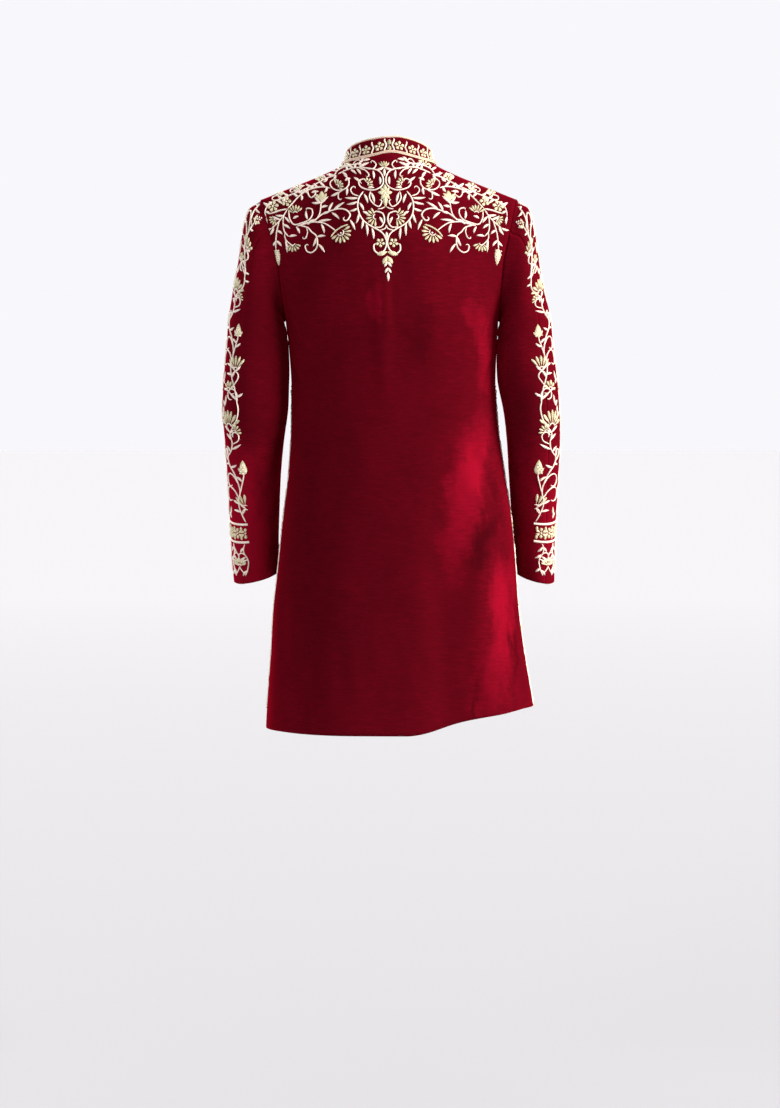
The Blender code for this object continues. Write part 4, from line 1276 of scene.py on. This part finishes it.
CENTRE_LEAVES = rows(Leaf, (
    (42, 4, 205, 17), (49, 4, 247, 8), (46, 6, 124, 11), (19, 10, 94, 13), (8, 21, 90, 12),
    (51, 21, 138, 15), (0, 5, 17, 14), (56, 7, 139, 11), (60, 8, 284, 9), (44, 57, 357, 20),
    (45, 63, 13, 17), (45, 74, 18, 14), (44, 81, 73, 17), (38, 92, 79, 15), (33, 100, 93, 18),
    (24, 107, 97, 17), (35, 50, 110, 15), (43, 65, 117, 13), (23, 48, 105, 16), (11, 89, 114, 11),
    (28, 40, 180, 9), (66, 26, 200, 9), (38, 80, 150, 10),
))
CentreTip = namedtuple("CentreTip", "root tip width")
CENTRE_TIPS = rows(CentreTip, (
    ((0, 147), (17, 152), 8), ((0, 154), (8, 167), 7.5), ((0, 163), (6, 172), 4), ((0, 173), (5, 182), 4),
))
STAR = (0, 49)               # the middle of the lozenge flower
StarPoint = namedtuple("StarPoint", "tip width")
STAR_POINTS = rows(StarPoint, (
    ((0, 34), 7), ((0, 73), 8), ((-12, 48), 7), ((12, 48), 7), ((-8, 39), 5), ((8, 39), 5), ((-7, 60), 6),
    ((7, 60), 6),
))
SIDE_STEMS = rows(Stem, (
    (2.4, 9, -120, ((67, 16), (60, 24), (60, 34), (67, 41), (80, 42), (89, 36), (91, 28), (86, 23))),
    (2.1, 9, 150, ((70, 43), (77, 47), (78, 55))),
    (2.5, 0, 0, ((91, 38), (102, 35), (116, 36), (130, 40), (142, 48), (153, 59), (164, 71))),
    (2.2, 8, 130, ((129, 40), (128, 48), (123, 53), (117, 49))),
    (2.9, 0, 0, ((165, 71), (177, 73), (187, 76), (195, 78))),
    (2.4, 0, 0, ((164, 71), (170, 81), (179, 92), (192, 103))),
    (2.4, 0, 0, ((179, 93), (183, 107), (185, 120), (186, 139))),
    (2.3, 0, 0, ((166, 74), (171, 84), (172, 98), (170, 110), (163, 118))),
    (2.0, 0, 0, ((170, 112), (169, 122), (163, 129), (156, 135))),
    (2.4, 5, 120, ((162, 74), (161, 87), (154, 98), (141, 96), (128, 91), (122, 82), (123, 73), (130, 71))),
    (2.5, 14, -210, ((149, 101), (133, 97), (119, 92), (105, 82), (91, 77), (77, 74), (65, 77), (59, 85),
                     (63, 93))),
    (2.2, 0, 0, ((118, 93), (111, 84), (108, 73), (107, 60))),
    (2.2, 0, 0, ((141, 98), (124, 95), (105, 97), (94, 103), (83, 112))),
    (2.4, 9, -150, ((144, 100), (131, 104), (124, 112), (117, 118), (115, 128), (117, 139), (125, 146),
                    (133, 144), (136, 137))),
    (2.1, 9, -170, ((133, 104), (131, 112), (134, 121))),
))
SIDE_FANS = rows(Fan, (
    (80, 35, 215, 12, 6, 140), (151, 80, 275, 15, 6, 110), (184, 87, 35, 12, 5, 100),
    (157, 129, 98, 15, 6, 118),
))
SIDE_LEAVES = rows(Leaf, (
    (63, 38, 85, 12), (76, 45, 25, 14), (112, 35, 311, 9), (140, 47, 90, 9), (100, 35, 304, 9),
    (70, 11, 135, 10), (82, 14, 76, 9), (176, 89, 335, 14), (170, 82, 356, 13), (188, 101, 60, 14),
    (185, 124, 50, 11), (185, 124, 132, 12), (183, 107, 144, 10), (170, 84, 129, 13), (172, 97, 145, 12),
    (163, 118, 185, 12), (169, 123, 96, 19), (95, 78, 242, 15), (87, 76, 213, 20), (90, 80, 138, 15),
    (60, 93, 115, 17), (131, 90, 277, 13), (105, 82, 193, 10), (107, 62, 0, 14), (107, 64, 223, 15),
    (107, 63, 312, 14), (107, 71, 193, 10), (114, 95, 187, 21), (108, 98, 106, 15), (116, 120, 184, 13),
    (117, 121, 69, 14), (114, 132, 125, 16), (150, 102, 114, 11), (131, 99, 217, 13), (123, 44, 185, 11),
    (192, 103, 15, 12), (155, 88, 203, 9), (96, 36, 60, 9), (134, 43, 350, 9),
))
SHOULDER_STEMS = rows(Stem, (
    (2.2, 0, 0, ((79, 15), (95, 19), (109, 26), (123, 33), (137, 39), (154, 45), (173, 52), (189, 57))),
    (2.1, 14, 210, ((98, 20), (103, 12), (112, 12))),
    (2.1, 14, -210, ((128, 35), (133, 42), (141, 44))),
    (2.1, 14, 210, ((142, 41), (148, 33), (156, 34))),
    (2.1, 14, 210, ((176, 53), (180, 46), (187, 47))),
    (2.1, 0, 0, ((189, 57), (197, 63), (202, 72), (203, 83))),
))
SHOULDER_LEAVES = rows(Leaf, (
    (95, 19, 45, 9), (88, 17, 300, 9), (109, 26, 130, 9), (123, 33, 330, 10), (118, 30, 45, 10),
    (137, 39, 141, 9), (154, 45, 141, 9), (145, 42, 330, 9), (161, 48, 330, 9), (173, 52, 320, 9),
    (168, 50, 67, 9), (196, 62, 340, 9), (203, 83, 100, 12), (202, 74, 150, 8), (182, 55, 144, 10),
    (189, 57, 29, 13), (134, 30, 0, 11), (168, 42, 0, 11),
))
NECK_STEMS = rows(Stem, (
    (2.3, 0, 0, ((84, 16), (78, 6), (68, 0), (56, -2), (44, -3), (34, -8))),
    (2.2, 16, -230, ((52, -2), (47, -9))),
))
NECK_FANS = rows(Fan, (
    (66, -1, 262, 12, 5, 140),
))
NECK_LEAVES = rows(Leaf, (
    (78, 6, 320, 11), (74, 4, 290, 9), (57, -2, 300, 10), (44, -3, 150, 10), (38, -6, 230, 9),
    (34, -8, 190, 10), (60, -1, 150, 9), (84, 14, 345, 12),
))


def half_centre(pen):
    """One half of the pointed centre piece."""
    spread_out(pen, CENTRE_STEMS, CENTRE_FANS, CENTRE_LEAVES)
    flower(pen, (11, 132), 7.5, 5, 20)
    for root, tip, width in CENTRE_TIPS:
        pen.pad(root, tip, width, 2.0, 0.55, thread=pen.fills if width > 5 else None)


def centre_line(pen):
    """What stands on the middle of the back."""
    fan(pen, (0, 7), 270, 12.5, 5, 84, 0.1)
    for down, length in ((7, 12), (114, 11), (181, 13)):
        leaf(pen, 0, down, 90, length, 4.4, 0)
    for tip, width in STAR_POINTS:
        pen.pad(STAR, tip, width, 2.2, 0.45, crease=0.25, thread=pen.fills)
    pen.dome(STAR, 2.2, 2.4, thread=pen.cords)


def side_spray(pen):
    """The branching spray over one shoulder blade."""
    spread_out(pen, SIDE_STEMS, SIDE_FANS, SIDE_LEAVES)
    crown(pen, (76, 114), 124, 18)
    pen.pad((107, 61), (105, 42), 9.5, 2.4, 0.5, crease=0.25, thread=pen.fills)
    for tip in ((116, 47), (97, 47)):
        pen.pad((107, 58), tip, 6, 2.0, 0.55, thread=pen.fills)
    pinecone(pen, (186, 138), 98, 28, 11)
    flower(pen, (189, 65), 10, 6, 10)
    flower(pen, (166, 58), 8.5, 5, 40)


def shoulder_top(pen):
    """Along the shoulder line, from the neck to the sleeve."""
    spread_out(pen, SHOULDER_STEMS, (), SHOULDER_LEAVES)
    spread_out(pen, NECK_STEMS, NECK_FANS, NECK_LEAVES)
    for centre, radius, petals in (((107, 16), 8.5, 6), ((146, 31), 8, 5), ((178, 40), 8, 6)):
        flower(pen, centre, radius, petals)


# ---------------------------------------------------------------- the sleeves' work

BAND_TOP, BAND_FOOT = 562, 595   # millimetres down the sleeve
BAND_PITCH = 15                  # from flower to flower
FOOT_SPRAYS = (-62, -36, -10, 16, 42)
FOOT_STALK = ((0, 0), (3, 14), (-4, 30), (-2, 46), (3, 58))
FootLeaf = namedtuple("FootLeaf", "down across heading")
FOOT_LEAVES = rows(FootLeaf, (
    (6, 1, 50), (6, 1, 130), (20, -1, 40), (24, 0, 140), (44, -2, 50), (48, -1, 130),
))
VINE_REPEAT, VINE_REPEATS = 225, 4
SEED_HEAD, SEED_HEADING = (16, 117), 272
# Millimetres: x from the vine's middle towards the back seam, y down one repeat.
VINE_STEMS = rows(Stem, (
    (2.4, 0, 0, ((17, 0), (19, 12), (15, 26), (6, 38), (-3, 49), (0, 64), (-5, 78), (-17, 90), (-13, 102),
                 (-2, 115), (5, 132), (7, 146), (3, 160), (3, 174), (8, 190), (14, 206), (17, 225))),
    (2.3, 50, -290, ((17, 4), (18, -6))),
    (2.3, 58, -285, ((6, 134), (1, 125))),
    (2.3, 66, -285, ((4, 158), (0, 150))),
    (2.2, 0, 0, ((7, 148), (11, 135), (16, 120), (16, 114))),
    (2.2, 0, 0, ((6, 186), (11, 181), (14, 174))),
    (2.2, 34, -270, ((1, 66), (10, 62))),
    (2.2, 30, -250, ((12, 199), (19, 190))),
    (2.2, 0, 0, ((-1, 52), (4, 48), (8, 46))),
    (2.2, 0, 0, ((12, 212), (5, 213), (-2, 207))),
    (2.2, 30, 260, ((-16, 96), (-24, 90))),
))
VINE_FANS = rows(Fan, (
    (-4, 40, 268, 27, 7, 128), (8, 46, 310, 13, 5, 110), (14, 176, 270, 26, 5, 78),
    (-2, 206, 262, 15, 5, 150),
))
VINE_LEAVES = rows(Leaf, (
    (18, 9, 330, 12), (-3, 47, 210, 16), (-2, 47, 330, 8), (-14, 6, 285, 15), (-15, 7, 232, 10),
    (0, 60, 215, 15), (-3, 75, 335, 20), (-6, 80, 215, 13), (-16, 90, 255, 13), (-10, 106, 340, 14),
    (-13, 101, 170, 11), (11, 135, 325, 12), (13, 128, 215, 12), (14, 176, 222, 14), (14, 176, 318, 12),
    (5, 182, 190, 13), (16, 218, 335, 12), (-2, 208, 195, 13), (16, 222, 215, 13), (3, 168, 205, 12),
    (-22, 20, 275, 12), (-21, 26, 235, 10), (-22, 190, 280, 13), (-20, 196, 235, 10),
))


def vine(pen):
    """A waving stem with rings, leaves, open flowers and seed heads."""
    across, start = pen.at
    for k in range(VINE_REPEATS):
        pen.at = (across, start + pen.scale * VINE_REPEAT * k / 1000)
        spread_out(pen, VINE_STEMS, VINE_FANS, VINE_LEAVES)
        pinecone(pen, SEED_HEAD, SEED_HEADING, 25, 14)
        for turn in (-38, 38):
            tip = np.array(SEED_HEAD) + heading(SEED_HEADING + turn) * 15
            pen.pad(SEED_HEAD, tip, 4.6, 2.0, 0.5, thread=pen.fills)


def sleeve_foot(pen):
    """The band above the cuff and the sprays under it."""
    for y in (BAND_TOP, BAND_FOOT):
        rail = [(x, y) for x in range(-80, 80, 2)]
        pen.cord(rail, 4.2, 1.3, 0)
        pen.cord(rail, 1.5, 2.4, 0)
    for i in range(-5, 5):
        flower(pen, (i * BAND_PITCH, (BAND_TOP + BAND_FOOT) / 2), 9.5, 6, 30)
        for y, degrees in ((BAND_TOP + 4, 90), (BAND_FOOT - 4, 270)):
            root = np.array((i * BAND_PITCH + BAND_PITCH / 2, y))
            pen.pad(root, root + heading(degrees) * 9, 4.4, thread=pen.fills)
    foot = BAND_FOOT + 3
    for k, x in enumerate(FOOT_SPRAYS):
        side = 1 if k % 2 else -1
        stalk = [np.array((x + side * across, foot + down), float) for across, down in FOOT_STALK]
        pen.cord(smoother(stalk, 5), 2.3)
        for down, across, degrees in FOOT_LEAVES:
            leaf(pen, x + across * side, foot + down, degrees, 11)
        curl = walk(x - side * 4, foot + 28, 90 - side * 60, (8, -20 * side, 0), (30, -250 * side, 0.35))
        pen.cord(curl, 2.2)
        fan(pen, (x + side * 14, foot + 40), 270 - side * 10, 15, 5, 120)
        pen.cord([(x + side * 14, foot + 40), (x + side * 9, foot + 48), (x + side * 2, foot + 56)], 2.2)


# ---------------------------------------------------------------- the collar's work

COLLAR_PITCH = 24            # from flower to flower
UPRIGHT_HEIGHT, UPRIGHT_WAVE = 25.6, 1.6


def collar_work(pen):
    """Flowers between wavy uprights, outward from the middle of the back."""
    for k in range(5):
        x, middle = 17 + COLLAR_PITCH * k, 14.9 - 0.5 * k
        flower(pen, (x, middle), 8.4, 5, 90)
        edge = 6.5 if k == 0 else x - COLLAR_PITCH / 2
        pen.cord([(edge + UPRIGHT_WAVE * math.sin(math.pi * h / 9), 1.6 + h)
                  for h in np.arange(0, UPRIGHT_HEIGHT, 1.5)], 2.7, 1.5, 3)
    for tip in (25, 3):
        pen.pad((0, 14), (0, tip), 7, 2.0, 0.55, thread=pen.fills)


# ---------------------------------------------------------------- sewing it all on

YOKE_LEAN = 0.037            # the pattern's middle drifts to the wearer's right as it goes down
YOKE_MIDDLE = 0.0064 + 0.049 * YOKE_LEAN
FRONT_SCALE = 0.93
SIDE_VINE_TOP, SIDE_VINE_FOOT = 0.365, 0.915
SIDE_VINE_NEAR, SIDE_VINE_FAR = 0.003, 0.130   # from the side seam
SIDE_VINE_SCALE, SIDE_VINE_PLACE = 0.78, (0.028, 0.226)
NOWHERE = 1.0                # a lowest x, in metres, that shuts all work out
VINE_START = -0.093
VINES_APART = 0.063
VINE_INWARD = {"left": 0.045, "right": 0.053}  # the hind vine's middle, back from the sleeve's outer line
STRIP_BACK = 0.032           # the work's hind edge is past the hind seam by that less this
STRIP_FORE, STRIP_TOP, STRIP_SHORT = -0.062, 0.005, 0.004   # its front edge, its top, its gap to the band
PIPING = 0.0013              # radius
FOOT_CORD = 0.0012           # radius of each of the two cords at the collar's foot
FOOT_RISES = (0.0012, -0.0010)


def round_cord(work, points, radius, sides=8):
    """A round cord in space, its UV running along it."""
    turns = [math.tau * k / sides for k in range(sides)]
    last, travelled, grid, uvs = len(points) - 1, 0.0, [], []
    for i, place in enumerate(points):
        ahead, behind = points[min(i + 1, last)], points[max(i - 1, 0)]
        along_path = (ahead - behind).normalized()
        first = along_path.cross(Vector((0, 0, 1))).normalized()
        second = along_path.cross(first)
        reach = radius * (0.4 if i in (0, last) else 1.0)
        grid.append([place + (first * math.cos(t) + second * math.sin(t)) * reach for t in turns])
        travelled += (place - behind).length
        uvs.append([(t * radius, travelled) for t in turns])
    middle = len(points) // 2
    work.add_grid(grid, uvs, grid[middle - 1][sides // 2] - points[middle - 1], closed=True)


def rolled_cord(name, lines, radius):
    """One piece of rolled cord along one or more lines."""
    work = Work()
    for line in lines:
        round_cord(work, line, radius)
    return work.make(name, ROLLED_THREAD)


def sew(name, ground, draw, pens, limits=None):
    """One place's cord work and fillings, drawn once for each pen's settings."""
    cords, fills = Work(), Work()
    for settings in pens:
        pen = Pen(ground, cords, fills, limits, **settings)
        for step in draw:
            step(pen)
    cords.make(f"{name}_cord_work", CORD_THREAD)
    fills.make(f"{name}_flower_work", FLOWER_THREAD)


def sew_yoke():
    """The back's and the front's shoulder work."""
    cloth = tree_of(shells["back"], shells["front_left"], shells["front_right"])
    back, front = yoke_ground(cloth, False), yoke_ground(cloth, True)
    place = {"lean": YOKE_LEAN, "at": (YOKE_MIDDLE, 0.0)}
    sew("yoke", back, (half_centre, side_spray, shoulder_top), [{"flip": flip, **place} for flip in (1, -1)])
    sew("yoke_middle", back, (centre_line,), [place])
    sew("front_yoke", front, (side_spray, shoulder_top),
        [{"flip": flip, "scale": FRONT_SCALE, "at": (flip * 0.008, 0.004)} for flip in (1, -1)])


def sew_side(word, side):
    """The vine beside one side seam."""
    ground = side_ground(side, tree_of(shells[f"front_{word}"]))

    def near(s):
        return SIDE_VINE_NEAR if SIDE_VINE_TOP < s < SIDE_VINE_FOOT else NOWHERE

    sew(f"{word}_front_side", ground, (vine,), [{"scale": SIDE_VINE_SCALE, "at": SIDE_VINE_PLACE}],
        (near, lambda s: SIDE_VINE_FAR))


def sew_sleeve(word):
    """One sleeve's two vines, the band above its cuff, and the cuff's piping."""
    form, inward = forms[word], VINE_INWARD[word]
    cloth = tree_of(shells[f"{word}_top_sleeve"], shells[f"{word}_under_sleeve"])
    ground, seam_reach = sleeve_ground(form, cloth)

    def hind(s):
        return seam_reach(s) + inward - STRIP_BACK

    def fore(s):
        return STRIP_FORE if STRIP_TOP < s < 0.001 * BAND_TOP - STRIP_SHORT else NOWHERE

    sew(f"{word}_sleeve_vines", ground, (vine,),
        [{"at": (inward, VINE_START)}, {"flip": -1, "at": (inward - VINES_APART, VINE_START)}], (fore, hind))
    sew(f"{word}_sleeve_band", ground, (sleeve_foot,), [{"at": (0.010, 0.0)}], (lambda s: STRIP_FORE, hind))
    edge = [form.face(math.radians(degrees), 1.0) for degrees in range(-60, 61, 3)]
    rolled_cord(f"{word}_cuff_piping", [smoother(edge, 2)], PIPING)


def trim_collar():
    """The collar's work and its cords: one on the edge, two at the foot."""
    sew("collar", collar_ground(tree_of(shells["collar"])), (collar_work,), ({"flip": 1}, {"flip": -1}))
    top = rolled_cord("collar_top_cord_twisted", [smoother(top_cord_points())], TOP_CORD)
    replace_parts(top, "collar_top_cord")
    foot = smoother(base_cord_points())
    lines = [[place + Vector((0, 0, rise)) for place in foot] for rise in FOOT_RISES]
    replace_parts(rolled_cord("collar_foot_cords", lines, FOOT_CORD), "collar_base_cord")


# ---------------------------------------------------------------- stage

WORLD_LIGHT = 0.42
# Painted shade on the floor: darker near the coat, paler far off
FLOOR_PAINTED_SHADE, FLOOR_LIGHT = "#BABABD", "#C7C7CA"   # near and far
FLOOR_NEAR = 1 / 14                              # one over the distance, in metres, of the change
FLOOR_Z, FLOOR_SIZE = -1.58, 400
CAMERA_PLACE, CAMERA_AIM, CAMERA_LENS = (-0.0017, 4.5, -0.45), (-0.0017, 0.0, -0.651), 86.0
Sun = namedtuple("Sun", "name towards strength spread_deg colour")
SUNS = rows(Sun, (
    # towards is where its light comes from
    ("key", (-0.93, 0.33, 0.36), 7.0, 30, "#FFFAF4"),
    ("fill", (0.75, 0.60, 0.30), 1.6, 60, "#F6F8FF"),
    ("front_fill", (0.35, -0.85, 0.40), 2.6, 50, "#FFFFFF"),
))


def set_stage():
    """A pale floor, darker near the coat with painted shade, and a pale even surround."""
    bpy.ops.mesh.primitive_plane_add(size=FLOOR_SIZE, location=(0, 0, FLOOR_Z))
    floor = bpy.context.object
    floor.name = "studio_floor"
    material, tree, shader, coordinates = new_material("studio_floor", Roughness=1.0, Specular_IOR_Level=0.0)
    reach = add_node(tree, "ShaderNodeMapping", [("Vector", coordinates, "Object")],
                     in_Scale=(FLOOR_NEAR, FLOOR_NEAR, FLOOR_NEAR))
    # Painted shade: the floor's colour darkens towards the spot under the coat
    near = add_node(tree, "ShaderNodeTexGradient", [("Vector", reach, 0)], gradient_type="SPHERICAL")
    add_colour(tree, shader, near, "Fac", ((0.0, FLOOR_LIGHT), (1.0, FLOOR_PAINTED_SHADE)))
    floor.data.materials.append(material)
    world = bpy.data.worlds.new("studio")
    world.use_nodes = True
    tree = world.node_tree
    backdrop, lighting = tree.nodes["Background"], add_node(tree, "ShaderNodeBackground")
    for node, strength in ((backdrop, 1.0), (lighting, WORLD_LIGHT)):
        node.inputs["Color"].default_value = rgb("#F8F8FC")
        node.inputs["Strength"].default_value = strength
    rays = add_node(tree, "ShaderNodeLightPath")
    seen = add_node(tree, "ShaderNodeMixShader",
                    [(0, rays, "Is Camera Ray"), (1, lighting, 0), (2, backdrop, 0)])
    tree.links.new(seen.outputs[0], tree.nodes["World Output"].inputs["Surface"])
    bpy.context.scene.world = world
    bpy.context.scene.view_settings.view_transform = "Standard"


def add_sun(sun):
    """Even light from one side."""
    light = bpy.data.lights.new(sun.name, "SUN")
    light.energy, light.angle, light.color = sun.strength, math.radians(sun.spread_deg), rgb(sun.colour)[:3]
    lamp = bpy.data.objects.new(sun.name, light)
    lamp.rotation_euler = Vector(sun.towards).to_track_quat("Z", "Y").to_euler()
    bpy.context.scene.collection.objects.link(lamp)


def add_camera():
    data = bpy.data.cameras.new("camera")
    data.lens, data.sensor_width = CAMERA_LENS, 36.0
    camera = bpy.data.objects.new("camera", data)
    camera.location = CAMERA_PLACE
    camera.rotation_euler = (Vector(CAMERA_AIM) - Vector(CAMERA_PLACE)).to_track_quat("-Z", "Y").to_euler()
    bpy.context.scene.collection.objects.link(camera)
    bpy.context.scene.camera = camera


# ---------------------------------------------------------------- the coat

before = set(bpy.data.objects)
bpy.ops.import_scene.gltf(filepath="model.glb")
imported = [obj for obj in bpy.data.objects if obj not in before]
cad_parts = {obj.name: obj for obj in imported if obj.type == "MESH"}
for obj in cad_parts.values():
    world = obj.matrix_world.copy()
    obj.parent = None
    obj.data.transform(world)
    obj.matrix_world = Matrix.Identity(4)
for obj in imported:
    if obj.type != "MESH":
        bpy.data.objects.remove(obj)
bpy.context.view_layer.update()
shells, forms = make_shells()
# Cord twisted from metal-wrapped thread: nearly white, with painted shade, rosy, in the twist's grooves.
CORD_THREAD = thread_material("twisted_zari_cord", "#FFF9F0", "#E0BE9E", 0.0, 0.5, 0.0012)
# Metal thread laid side by side in satin stitch: pale green gold, with a fine rib across each petal, its
# grooves darkened with painted shade.
FLOWER_THREAD = thread_material("zari_satin_stitch", "#F4EDCB", "#A69B62", 0.10, 0.45, 0.0011)
# Thicker cord rolled round a core: warmer, with a coarse slanting lay, its grooves darkened with painted
# shade.
ROLLED_THREAD = thread_material("rolled_zari_cord", "#FBE5CF", "#B08763", 0.12, 0.45, 0.0020)
BUTTON_BRASS = brass_material()
sew_yoke()
for word, side in (("left", 1), ("right", -1)):
    sew_side(word, side)
    sew_sleeve(word)
trim_collar()
for i in range(BUTTONS):
    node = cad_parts[f"button_{i + 1}"]
    node.data.materials.clear()
    node.data.materials.append(BUTTON_BRASS)
set_stage()
for sun in SUNS:
    add_sun(sun)
add_camera()
